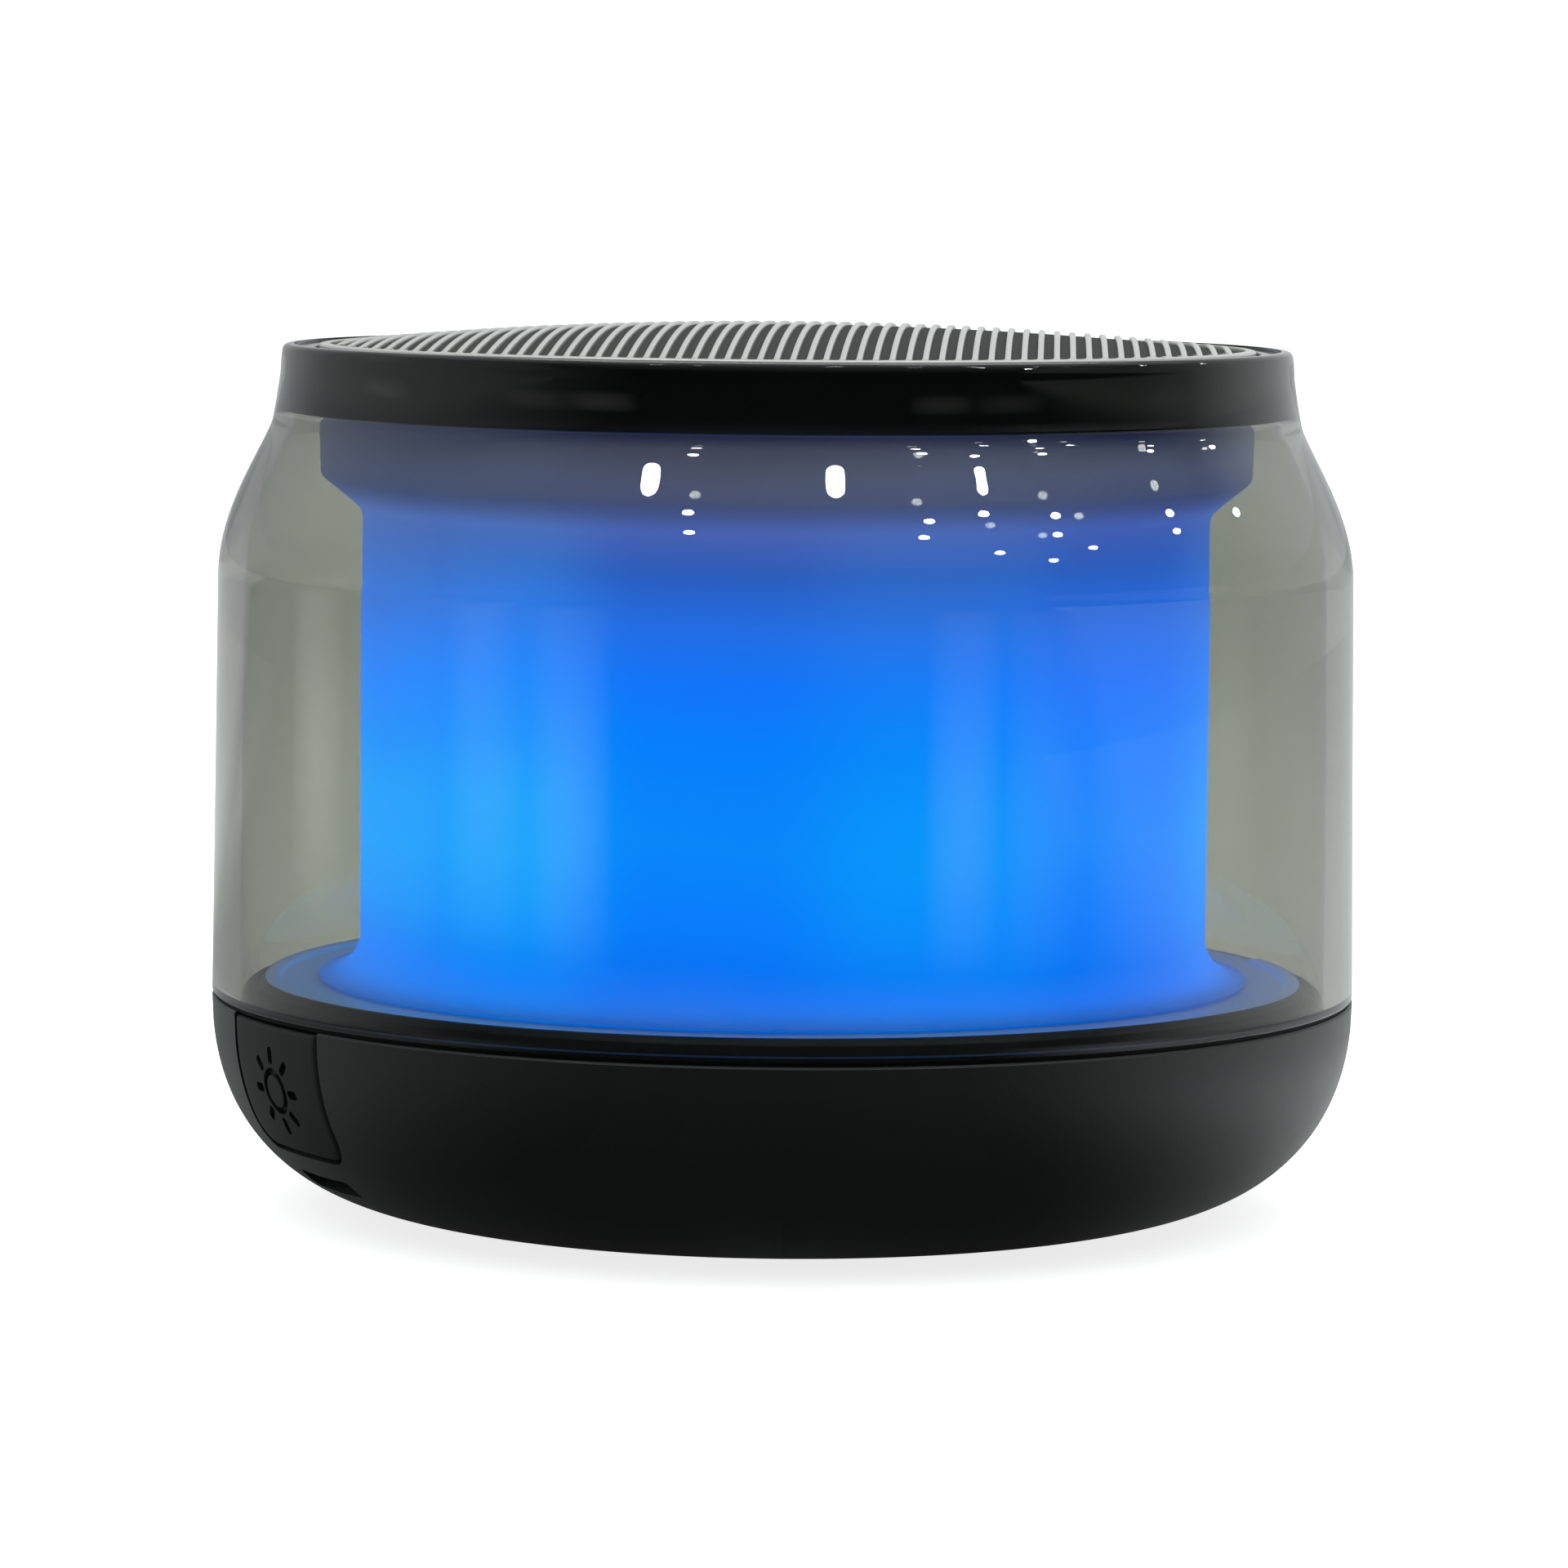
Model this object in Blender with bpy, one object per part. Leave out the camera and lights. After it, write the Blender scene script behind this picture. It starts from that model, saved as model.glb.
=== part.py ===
"""Portable speaker with a lit column inside a smoked clear shell.

Metres, +Z up. The origin is on the axis of the can, at the underside of the foot pad. The front
is -Y. Things set round the base are modelled at the front and turned about Z by their bay angle,
which is positive towards +X.
"""
import math

import bmesh
import bpy
from mathutils import Matrix, Vector

MM = 0.001

# ---- driving dimensions -------------------------------------------------------------------------
GAP = 0.3 * MM                # space between neighbouring pieces
BODY_RADIUS = 42.5 * MM       # widest point, at the seam
SEAM_Z = 16.3 * MM            # underside of the clear shell
RIM_Z = 64.1 * MM             # top edge of the clear shell
DOME_RISE = 1.8 * MM          # height of the grille's crown above the rim

WALL = 2.0 * MM               # moulded wall of the base bowl
BOWL_BOTTOM_Z = 0.4 * MM
BOWL_FLAT_RADIUS = 26.0 * MM  # flat underside of the bowl
BOWL_POWER = 2.3              # squareness of the bowl's corner, 2 is an ellipse

WALL_TOP_RADIUS = 42.1 * MM   # clear wall where the shoulder starts
SHOULDER_Z = 47.0 * MM
NECK_Z = 58.9 * MM
NECK_RADIUS = 38.0 * MM
RIM_RADIUS = 37.45 * MM
RIM_ROUND = 0.55 * MM
SHOULDER_SKEW = 0.7           # below 1 the shoulder turns quicker at the neck
SHELL_INNER_FOOT = 40.4 * MM
SHELL_INNER_NECK = 36.5 * MM

COLLAR_OUTER = 36.2 * MM
COLLAR_SEAT_RADIUS = 35.0 * MM
COLLAR_INNER = 33.0 * MM
COLLAR_TOP_Z = 63.9 * MM
COLLAR_EDGE = 0.3 * MM
COLLAR_SEAT_DEPTH = 1.0 * MM  # the grille lies this deep in the collar
GRILLE_RADIUS = 34.7 * MM
GRILLE_THICKNESS = 0.9 * MM
GRILLE_TIP_TURN = math.radians(6.0)  # half of the rim's arc past the outermost slot
SLOT_FIELD_RADIUS = 33.9 * MM
SLOT_PITCH = 1.14 * MM
SLOT_WIDTH = 0.68 * MM
SLOT_COUNT = 59
SLOT_STEPS = 4                # stretches along each bar of the grille
BAR_TURN = math.radians(2.3)  # the bars' heading, off the front-to-back line
CLOTH_RADIUS = 32.6 * MM
CLOTH_THICKNESS = 0.3 * MM
CLOTH_CLEARANCE = 0.35 * MM   # space between the cloth and the grille over it

COLUMN_RADIUS = 31.5 * MM
COLUMN_HEAD_RADIUS = 34.6 * MM
COLUMN_WALL = 1.5 * MM
COLUMN_HEAD_WALL = 2.7 * MM
COLUMN_NECK_Z = 50.7 * MM     # the column widens from here up to its head
COLUMN_HEAD_Z = 53.6 * MM
COLUMN_FOOT_Z = 17.6 * MM
COLUMN_TOP_Z = 58.6 * MM
FLOOR_RADIUS = 39.0 * MM
FLOOR_TOP_Z = 17.3 * MM
FLOOR_UNDER_Z = 15.9 * MM
FLOOR_HOLE_RADIUS = 12.0 * MM
FLOOR_RIM_Z = 17.6 * MM       # top of the raised edge
FLOOR_RIM_WIDTH = 1.7 * MM
FLOOR_RIM_LOW_Z = 16.1 * MM
FLOOR_EDGE = 0.45 * MM
SKIRT_OUTER = 38.3 * MM       # ring under the floor disc that stands over the bowl's ledge
SKIRT_INNER = 36.9 * MM
SKIRT_Z = 14.7 * MM
LEDGE_THICKNESS = 1.0 * MM
LEDGE_SLOPE = 0.4 * MM

CHAMBER_RADIUS = 27.0 * MM
CHAMBER_FLANGE_RADIUS = 32.6 * MM
CHAMBER_FLOOR_Z = 24.0 * MM
CHAMBER_TOP_Z = 60.1 * MM
CHAMBER_FLOOR = 1.5 * MM
CHAMBER_VENT_RADIUS = 5.0 * MM

BOARD_Z = 9.4 * MM            # underside of the main board
BOARD_THICKNESS = 1.2 * MM
BOARD_TOP_Z = BOARD_Z + BOARD_THICKNESS
BOARD_RADIUS = 33.5 * MM
BOARD_TAB_HALF = 6.0 * MM
BOARD_TAB_FRONT_Y = -37.5 * MM
BOARD_TAB_BACK_Y = -30.0 * MM
BATTERY_SIZE = (43.0 * MM, 32.0 * MM, 4.8 * MM)
BATTERY_ROUND = 1.2 * MM
BATTERY_LEAD_X = 26.0 * MM    # the lead passes the board this far left of the axis
POSTS = [(sx * 8.0 * MM, sy * 19.8 * MM) for sx in (-1, 1) for sy in (-1, 1)]
POST_RADIUS = 2.4 * MM
POST_FOOT_Z = 3.9 * MM
SCREW_HOLE_RADIUS = 1.2 * MM
SCREW_HOLE_TOP_Z = 10.6 * MM
SCREW_RADIUS = 0.85 * MM
SCREW_HEAD_RADIUS = 1.8 * MM
SCREW_HEAD_LOW_Z = 1.3 * MM
SCREW_HEAD_TOP_Z = 2.2 * MM
SCREW_TIP_Z = 10.2 * MM
PAD_RADIUS = 25.6 * MM
PAD_THICKNESS = 0.9 * MM
COVER_RADIUS = 24.2 * MM
COVER_UNDER_Z = 1.2 * MM
COVER_TOP_Z = 2.4 * MM
COVER_BOSS_RADIUS = 3.0 * MM
COVER_SINK_RADIUS = 2.1 * MM
COVER_SINK_TOP_Z = 2.5 * MM
PAD_EDGE = 0.3 * MM
OVERLAP = 0.4 * MM            # how far two shapes run into each other before they are joined
OVERCUT = 1.0 * MM            # how far a cutter runs past the surface that it cuts

BAY_STEP = 36.0               # degrees between the bays round the base
FIRST_BAY = -60.1
KEY_NAMES = ["light_key", "previous_key", "play_key", "next_key", "power_key"]
BAY_ANGLES = [math.radians(FIRST_BAY - BAY_STEP * i) for i in range(len(KEY_NAMES) + 1)]
PORT_ANGLE = BAY_ANGLES[-1]
KEY_HALF_WIDTH = 6.5 * MM
KEY_BOTTOM_Z = 6.4 * MM
KEY_TOP_Z = 15.8 * MM
KEY_CORNER = 2.0 * MM
KEY_BACK_Y = -39.1 * MM
KEY_STEM_Y = -36.1 * MM
KEY_STEM_HALF = 3.0 * MM      # the stem takes the key's back faces nearer the middle than this
KEY_STEM_Z = 12.3 * MM
BAY_FRONT_Y = -46.0 * MM      # the bays' cutters run from in front of the bowl ...
BAY_BACK_Y = -35.8 * MM       # ... to inside its wall
SWITCH_SIZE = (6.0 * MM, 3.0 * MM, 2.8 * MM)
SWITCH_FRONT_Y = -34.4 * MM
SWITCH_POCKET = 1.4 * MM
SWITCH_WALL = 0.6 * MM
PLUNGER_HALF_WIDTH = 1.9 * MM
PLUNGER_HALF_HEIGHT = 0.5 * MM
PLUNGER_LENGTH = 2.1 * MM

STRAP_SLOT_SIZE = (7.6 * MM, 4.4 * MM, 1.9 * MM)
STRAP_SLOT_PLACES = ((-37.3 * MM, 4.1 * MM, math.radians(42.0)), (-31.4 * MM, 1.6 * MM, math.radians(84.0)))

SOCKET_FRONT_Y = -40.3 * MM
USB_BACK_Y = -33.0 * MM
USB_HALF_WIDTH = 4.5 * MM
USB_HEIGHT = 3.2 * MM
USB_WALL = 0.4 * MM
USB_DEPTH = 6.0 * MM
CARD_BACK_Y = -28.5 * MM
CARD_HALF_WIDTH = 5.6 * MM
CARD_LOW_Z = 7.5 * MM
CARD_WALL = 0.3 * MM
CARD_DEPTH = 10.5 * MM
MOUTH_MARGIN = 0.3 * MM       # the port plate's mouths are this much wider than the sockets

LED_COUNT = 6
LED_RING_RADIUS = 26.8 * MM
LED_BOARD_Z = 17.6 * MM
LED_BOARD_THICKNESS = 1.2 * MM
LED_BOARD_INNER = 24.0 * MM
LED_BOARD_OUTER = 29.6 * MM
LED_HALF_WIDTH = 1.75 * MM
LED_HALF_DEPTH = 1.4 * MM
LED_HEIGHT = 1.2 * MM
FIRST_LED = math.radians(20.0)  # the light is strongest at this turn from the front

DRIVER_RADIUS = 26.5 * MM
BASKET_SEAT_Z = 60.4 * MM
BASKET_FLOOR_Z = 50.1 * MM
BASKET_SHEET = 0.9 * MM
BASKET_WINDOWS = 4
YOKE_RADIUS = 17.0 * MM
YOKE_LOW_Z = 38.1 * MM
YOKE_THICKNESS = 2.5 * MM
POLE_RADIUS = 6.1 * MM
TOP_PLATE_Z = 47.2 * MM
TOP_PLATE_THICKNESS = 2.6 * MM
MAGNET_INNER = 10.0 * MM
MAGNET_OUTER = 18.5 * MM
COIL_INNER = 6.45 * MM
COIL_OUTER = 7.05 * MM
CONE_OUTER = 21.6 * MM
CONE_INNER = COIL_OUTER + GAP
WIRE_RADIUS = 0.6 * MM

ROUND_STEPS = 40              # facets of the outer pieces
MIDDLE_STEPS = 32             # facets of the broad inner pieces
INNER_STEPS = 24              # facets of the small inner pieces
BOSS_STEPS = 16
SCREW_STEPS = 12


# ---- helpers ------------------------------------------------------------------------------------
def clear_scene():
    for item in list(bpy.data.objects):
        bpy.data.objects.remove(item, do_unlink=True)


def make_material(name, colour, roughness, metallic=0.0, transmission=0.0, glow=0.0):
    material = bpy.data.materials.new(name)
    material.use_nodes = True
    shader = material.node_tree.nodes["Principled BSDF"]
    shader.inputs["Base Color"].default_value = (*colour, 1.0)
    shader.inputs["Roughness"].default_value = roughness
    shader.inputs["Metallic"].default_value = metallic
    shader.inputs["Transmission Weight"].default_value = transmission
    shader.inputs["Emission Color"].default_value = (*colour, 1.0)
    shader.inputs["Emission Strength"].default_value = glow
    material.diffuse_color = (*colour, 1.0)
    return material


def finish_mesh(bm, name):
    bmesh.ops.remove_doubles(bm, verts=bm.verts, dist=1e-6)
    bmesh.ops.recalc_face_normals(bm, faces=bm.faces)
    mesh = bpy.data.meshes.new(name)
    bm.to_mesh(mesh)
    bm.free()
    mesh.shade_smooth()
    mesh.set_sharp_from_angle(angle=math.radians(35.0))
    return mesh


def add_object(name, mesh, material, parent=None):
    item = bpy.data.objects.new(name, mesh)
    bpy.context.collection.objects.link(item)
    if material is not None and not mesh.materials:
        mesh.materials.append(material)
    item.parent = parent
    return item


def make_cutter(item):
    item.hide_render = True
    item.display_type = "WIRE"
    return item


def add_boolean(item, tool, operation):
    modifier = item.modifiers.new(operation.lower() + "_" + tool.name, "BOOLEAN")
    modifier.operation = operation
    modifier.object = tool
    modifier.solver = "EXACT"


def arc(centre, radius, start, end, steps):
    """Points of an arc in the radius-height plane, angles in degrees."""
    points = []
    for i in range(steps + 1):
        angle = math.radians(start + (end - start) * i / steps)
        points.append((centre[0] + radius * math.cos(angle), centre[1] + radius * math.sin(angle)))
    return points


def lathe_mesh(name, outline, steps):
    """Turn an outline of (radius, height) about Z; one that ends on the axis is left open."""
    bm = bmesh.new()
    verts = [bm.verts.new((radius, 0.0, height)) for radius, height in outline]
    on_axis = outline[0][0] == 0.0 and outline[-1][0] == 0.0
    pairs = list(zip(verts, verts[1:]))
    if not on_axis:
        pairs.append((verts[-1], verts[0]))
    edges = [bm.edges.new(pair) for pair in pairs]
    bmesh.ops.spin(bm, geom=verts + edges, cent=(0, 0, 0), axis=(0, 0, 1),
                   angle=math.tau, steps=steps, use_merge=True)
    return finish_mesh(bm, name)


def lathe(name, outline, material, steps=ROUND_STEPS):
    return add_object(name, lathe_mesh(name, outline, steps), material)


def add_box(bm, low, high, turn=0.0):
    """Add a box between two corners, then turn it about Z."""
    size = [high[i] - low[i] for i in range(3)]
    middle = [(high[i] + low[i]) / 2 for i in range(3)]
    place = Matrix.Rotation(turn, 4, "Z") @ Matrix.Translation(middle) @ Matrix.Diagonal((*size, 1.0))
    bmesh.ops.create_cube(bm, size=1.0, matrix=place)


def box(name, low, high, material):
    bm = bmesh.new()
    add_box(bm, low, high)
    add_object(name, finish_mesh(bm, name), material)


def push_faces(bm, faces, place_y):
    """Extrude faces of a closed body until they lie at a given y."""
    moved = bmesh.ops.extrude_face_region(bm, geom=faces)["geom"]
    for vert in moved:
        if isinstance(vert, bmesh.types.BMVert):
            vert.co.y = place_y
    bmesh.ops.delete(bm, geom=faces, context="FACES")


def hollow_front(bm, wall, depth):
    """Sink a pocket into the front face of a box, leaving a wall round it."""
    front_y = min(vert.co.y for vert in bm.verts)
    front = [face for face in bm.faces if face.calc_center_median().y < front_y + 0.1 * MM]
    bmesh.ops.inset_region(bm, faces=front, thickness=wall, use_even_offset=True)
    push_faces(bm, front, front_y + depth)


def add_cylinder(bm, x, y, low_z, high_z, radius, steps=SCREW_STEPS):
    place = Matrix.Translation((x, y, (low_z + high_z) / 2))
    bmesh.ops.create_cone(bm, cap_ends=True, segments=steps, radius1=radius, radius2=radius,
                          depth=high_z - low_z, matrix=place)


def pillars(name, places, low_z, high_z, radius, steps=SCREW_STEPS):
    """A cutter of upright cylinders, one at each place."""
    bm = bmesh.new()
    for x, y in places:
        add_cylinder(bm, x, y, low_z, high_z, radius, steps)
    return make_cutter(add_object(name, finish_mesh(bm, name), None))


def smooth_curve(points, per_span):
    """Points along a smooth curve through the given ones."""
    ends = [Vector(point) for point in [points[0]] + list(points) + [points[-1]]]
    route = []
    for a, b, c, d in zip(ends, ends[1:], ends[2:], ends[3:]):
        for i in range(per_span):
            t = i / per_span
            route.append(0.5 * (2 * b + (c - a) * t + (2 * a - 5 * b + 4 * c - d) * t ** 2
                                + (3 * b - 3 * c + d - a) * t ** 3))
    route.append(ends[-1])
    return route


def lead(name, points, material):
    """A short wire inside the housing."""
    curve = bpy.data.curves.new(name, "CURVE")
    curve.dimensions = "3D"
    curve.bevel_depth = WIRE_RADIUS
    curve.bevel_resolution = 2
    curve.use_fill_caps = True
    route = smooth_curve(points, 2)
    spline = curve.splines.new("POLY")
    spline.points.add(len(route) - 1)
    for point, place in zip(spline.points, route):
        point.co = (*place, 1.0)
    curve.materials.append(material)
    bpy.context.collection.objects.link(bpy.data.objects.new(name, curve))


# ---- the can's outline --------------------------------------------------------------------------
def bowl_point(turn, wall=0.0):
    """A point of the bowl's profile; turn runs from 0 at the seam to 90 at the flat underside."""
    angle = math.radians(turn)
    power = 2.0 / BOWL_POWER
    across = BODY_RADIUS - BOWL_FLAT_RADIUS - wall
    down = SEAM_Z - BOWL_BOTTOM_Z - wall
    cosine = max(math.cos(angle), 0.0) ** power
    sine = math.sin(angle) ** power
    return (BOWL_FLAT_RADIUS + across * cosine, SEAM_Z - down * sine)


def bowl_radius(height):
    """Outer radius of the bowl at a height."""
    down = (SEAM_Z - height) / (SEAM_Z - BOWL_BOTTOM_Z)
    return BOWL_FLAT_RADIUS + (BODY_RADIUS - BOWL_FLAT_RADIUS) * (1 - down ** BOWL_POWER) ** (1 / BOWL_POWER)


def shoulder_blend(height):
    """0 at the neck, 1 at the top of the wall, easing on a smooth S."""
    part = ((NECK_Z - height) / (NECK_Z - SHOULDER_Z)) ** SHOULDER_SKEW
    return 3 * part ** 2 - 2 * part ** 3


def shoulder(neck_radius, wall_radius, steps, low_z=SHOULDER_Z):
    """Shoulder points from the neck down."""
    points = []
    for i in range(steps + 1):
        height = NECK_Z + (low_z - NECK_Z) * i / steps
        points.append((neck_radius + (wall_radius - neck_radius) * shoulder_blend(height), height))
    return points


def dome_height(radius):
    return RIM_Z + DOME_RISE * (1 - (radius / GRILLE_RADIUS) ** 2)


# ---- casing -------------------------------------------------------------------------------------
def build_clear_shell(material):
    outer = arc((RIM_RADIUS - RIM_ROUND, RIM_Z - RIM_ROUND), RIM_ROUND, 90, 0, 2)
    outer += shoulder(NECK_RADIUS, WALL_TOP_RADIUS, 6)
    outer += [(BODY_RADIUS, SEAM_Z)]
    inner = shoulder(SHELL_INNER_NECK, WALL_TOP_RADIUS - WALL, 4, SHOULDER_Z + 1.0 * MM)
    outline = outer + [(SHELL_INNER_FOOT, SEAM_Z)] + inner[::-1] + [(SHELL_INNER_NECK, RIM_Z)]
    lathe("clear_shell", outline, material)


def build_collar(material):
    ledge_z = COLLAR_TOP_Z - COLLAR_SEAT_DEPTH
    outline = [(COLLAR_SEAT_RADIUS, COLLAR_TOP_Z), (COLLAR_OUTER - COLLAR_EDGE, COLLAR_TOP_Z),
               (COLLAR_OUTER, COLLAR_TOP_Z - COLLAR_EDGE), (COLLAR_OUTER, NECK_Z), (COLLAR_INNER, NECK_Z),
               (COLLAR_INNER, ledge_z), (COLLAR_SEAT_RADIUS, ledge_z)]
    lathe("collar_ring", outline, material)


def half_chord(radius, x):
    """Half the length of the chord that crosses a circle at x."""
    return math.sqrt(max(radius ** 2 - x ** 2, 0.0))


def build_grille(material):
    """A thin dome pierced by straight slots: bars and rim are laid as one sheet, then thickened."""
    bm = bmesh.new()

    def point(x, y):
        return bm.verts.new((x, y, dome_height(math.hypot(x, y))))

    centres = [SLOT_PITCH * (i - (SLOT_COUNT - 1) / 2) for i in range(SLOT_COUNT)]
    edges_x = [c + side * SLOT_WIDTH / 2 for c in centres for side in (-1, 1)]
    columns = []
    for i, x in enumerate(edges_x):
        reach = half_chord(SLOT_FIELD_RADIUS, centres[i // 2])
        columns.append([point(x, reach * (2 * j / SLOT_STEPS - 1)) for j in range(SLOT_STEPS + 1)])
    for left, right in zip(columns[1::2], columns[2::2]):
        for j in range(SLOT_STEPS):
            bm.faces.new((left[j], right[j], right[j + 1], left[j + 1]))
    rims = []
    for side in (-1, 1):
        rim = [point(x, side * half_chord(GRILLE_RADIUS, x)) for x in edges_x]
        ends = [column[0 if side < 0 else -1] for column in columns]
        for a, b, c, d in zip(rim, rim[1:], ends[1:], ends):
            bm.faces.new((a, b, c, d) if side < 0 else (d, c, b, a))
        rims.append(rim)
    for end, x_side in ((0, -1), (-1, 1)):
        tips = [point(x_side * GRILLE_RADIUS * math.cos(a), GRILLE_RADIUS * math.sin(a))
                for a in (-GRILLE_TIP_TURN, 0.0, GRILLE_TIP_TURN)]
        loop = [rims[0][end]] + tips + [rims[1][end]] + columns[end][::-1]
        bm.faces.new(loop[::-1] if x_side < 0 else loop)
    bmesh.ops.recalc_face_normals(bm, faces=bm.faces)
    if sum(face.normal.z for face in bm.faces) < 0:
        bmesh.ops.reverse_faces(bm, faces=bm.faces)
    bmesh.ops.rotate(bm, verts=bm.verts, cent=(0, 0, 0), matrix=Matrix.Rotation(-BAR_TURN, 3, "Z"))
    mesh = bpy.data.meshes.new("top_grille")
    bm.to_mesh(mesh)
    bm.free()
    grille = add_object("top_grille", mesh, material)
    thicken = grille.modifiers.new("thickness", "SOLIDIFY")
    thicken.thickness = GRILLE_THICKNESS
    thicken.offset = -1.0


def build_dust_cloth(material):
    drop = GRILLE_THICKNESS + CLOTH_CLEARANCE
    radii = [CLOTH_RADIUS * i / 3 for i in range(4)]
    top = [(r, dome_height(r) - drop) for r in radii]
    under = [(r, z - CLOTH_THICKNESS) for r, z in top]
    lathe("dust_cloth", top + under[::-1], material, MIDDLE_STEPS)


def build_light_column(material):
    foot = COLUMN_FOOT_Z
    flare = COLUMN_HEAD_RADIUS - COLUMN_RADIUS
    outer = arc((COLUMN_HEAD_RADIUS, foot + flare), flare, 270, 180, 3)
    head = [(COLUMN_RADIUS, COLUMN_NECK_Z), (32.4 * MM, 52.0 * MM), (COLUMN_HEAD_RADIUS, COLUMN_HEAD_Z),
            (COLUMN_HEAD_RADIUS, COLUMN_TOP_Z)]
    head_inner = COLUMN_HEAD_RADIUS - COLUMN_HEAD_WALL
    inner = COLUMN_RADIUS - COLUMN_WALL
    inside = [(head_inner, COLUMN_TOP_Z), (head_inner, COLUMN_HEAD_Z + 0.7 * MM),
              (inner, COLUMN_NECK_Z + 0.7 * MM), (inner, foot)]
    lathe("light_column", outer + head + inside, material)


def build_floor_disc(material):
    """The plate under the column, with a raised edge and four hollow screw posts below."""
    rim_inner = FLOOR_RADIUS - FLOOR_RIM_WIDTH
    outline = [(FLOOR_HOLE_RADIUS, FLOOR_UNDER_Z), (FLOOR_HOLE_RADIUS, FLOOR_TOP_Z),
               (rim_inner, FLOOR_TOP_Z), (rim_inner + FLOOR_EDGE, FLOOR_RIM_Z),
               (FLOOR_RADIUS - FLOOR_EDGE, FLOOR_RIM_Z), (FLOOR_RADIUS, FLOOR_RIM_Z - FLOOR_EDGE),
               (FLOOR_RADIUS, FLOOR_RIM_LOW_Z), (SKIRT_OUTER, FLOOR_RIM_LOW_Z), (SKIRT_OUTER, SKIRT_Z),
               (SKIRT_INNER, SKIRT_Z), (SKIRT_INNER, FLOOR_UNDER_Z)]
    disc = lathe("floor_disc", outline, material)
    posts = pillars("posts_shape", POSTS, POST_FOOT_Z, FLOOR_UNDER_Z + OVERLAP, POST_RADIUS)
    holes = pillars("post_holes_shape", POSTS, POST_FOOT_Z - OVERCUT, SCREW_HOLE_TOP_Z, SCREW_HOLE_RADIUS)
    add_boolean(disc, posts, "UNION")
    add_boolean(disc, holes, "DIFFERENCE")


def build_bowl(material):
    outer = [bowl_point(turn) for turn in (0, 12, 26, 40, 54, 67, 79, 90)]
    outer[0] = (bowl_radius(SEAM_Z - GAP), SEAM_Z - GAP)
    inner = [bowl_point(turn, WALL) for turn in (90, 72, 54, 36, 20)]
    recess = [(PAD_RADIUS + GAP, BOWL_BOTTOM_Z), (PAD_RADIUS + GAP, COVER_UNDER_Z),
              (COVER_RADIUS + GAP, COVER_UNDER_Z), (COVER_RADIUS + GAP, inner[0][1])]
    ledge_top = SKIRT_Z - GAP
    ledge_low = ledge_top - LEDGE_THICKNESS
    ledge = [(40.25 * MM, ledge_low - LEDGE_SLOPE), (SKIRT_INNER, ledge_low), (SKIRT_INNER, ledge_top),
             (SHELL_INNER_FOOT, ledge_top), (SHELL_INNER_FOOT, SEAM_Z - GAP)]
    bowl = lathe("base_bowl", outer + recess + inner + ledge, material)
    add_boolean(bowl, build_bay_cutter(), "DIFFERENCE")
    add_boolean(bowl, build_strap_slot_cutter(), "DIFFERENCE")


def bay_outline(grow):
    """The bay's outline in x and z: round lower corners, open at the top."""
    half = KEY_HALF_WIDTH + grow
    bottom = KEY_BOTTOM_Z - grow
    corner = KEY_CORNER + grow
    right = [(half - corner + r, bottom + corner + z) for r, z in arc((0, 0), corner, -90, 0, 4)]
    left = [(-x, z) for x, z in right[::-1]]
    top = SEAM_Z + OVERCUT
    return left + right + [(half, top), (-half, top)]


def build_bay_cutter():
    """One prism through the wall for each bay."""
    bm = bmesh.new()
    for angle in BAY_ANGLES:
        turn = Matrix.Rotation(angle, 4, "Z")
        near = [bm.verts.new(turn @ Vector((x, BAY_FRONT_Y, z))) for x, z in bay_outline(GAP)]
        face = bm.faces.new(near)
        moved = bmesh.ops.extrude_face_region(bm, geom=[face])["geom"]
        shift = turn @ Vector((0, BAY_BACK_Y - BAY_FRONT_Y, 0))
        bmesh.ops.translate(bm, verts=[g for g in moved if isinstance(g, bmesh.types.BMVert)], vec=shift)
    return make_cutter(add_object("bays_shape", finish_mesh(bm, "bays_shape"), None))


def build_strap_slot_cutter():
    """Two slots through the bowl's lower corner, under the light key: a strap loops round the bar
    that is left between them."""
    turn = Matrix.Rotation(BAY_ANGLES[0], 4, "Z")
    size = Matrix.Diagonal((*STRAP_SLOT_SIZE, 1.0))
    bm = bmesh.new()
    for y, z, tilt in STRAP_SLOT_PLACES:
        place = turn @ Matrix.Translation((0, y, z)) @ Matrix.Rotation(tilt, 4, "X")
        bmesh.ops.create_cube(bm, size=1.0, matrix=place @ size)
    return make_cutter(add_object("strap_slot_shape", finish_mesh(bm, "strap_slot_shape"), None))


def build_bottom_cover(material):
    outline = [(0.0, COVER_UNDER_Z), (COVER_RADIUS, COVER_UNDER_Z), (COVER_RADIUS, COVER_TOP_Z),
               (0.0, COVER_TOP_Z)]
    cover = lathe("bottom_cover", outline, material, MIDDLE_STEPS)
    bosses = pillars("cover_bosses_shape", POSTS, COVER_TOP_Z - OVERLAP, POST_FOOT_Z - GAP,
                     COVER_BOSS_RADIUS, BOSS_STEPS)
    sinks = pillars("cover_sinks_shape", POSTS, COVER_UNDER_Z - OVERCUT, COVER_SINK_TOP_Z, COVER_SINK_RADIUS)
    holes = pillars("cover_holes_shape", POSTS, COVER_SINK_TOP_Z - OVERLAP, POST_FOOT_Z, SCREW_HOLE_RADIUS)
    add_boolean(cover, bosses, "UNION")
    add_boolean(cover, sinks, "DIFFERENCE")
    add_boolean(cover, holes, "DIFFERENCE")


def build_foot_pad(material):
    outline = [(0.0, 0.0), (PAD_RADIUS - PAD_EDGE, 0.0), (PAD_RADIUS, PAD_EDGE),
               (PAD_RADIUS, PAD_THICKNESS), (0.0, PAD_THICKNESS)]
    lathe("foot_pad", outline, material)


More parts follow.
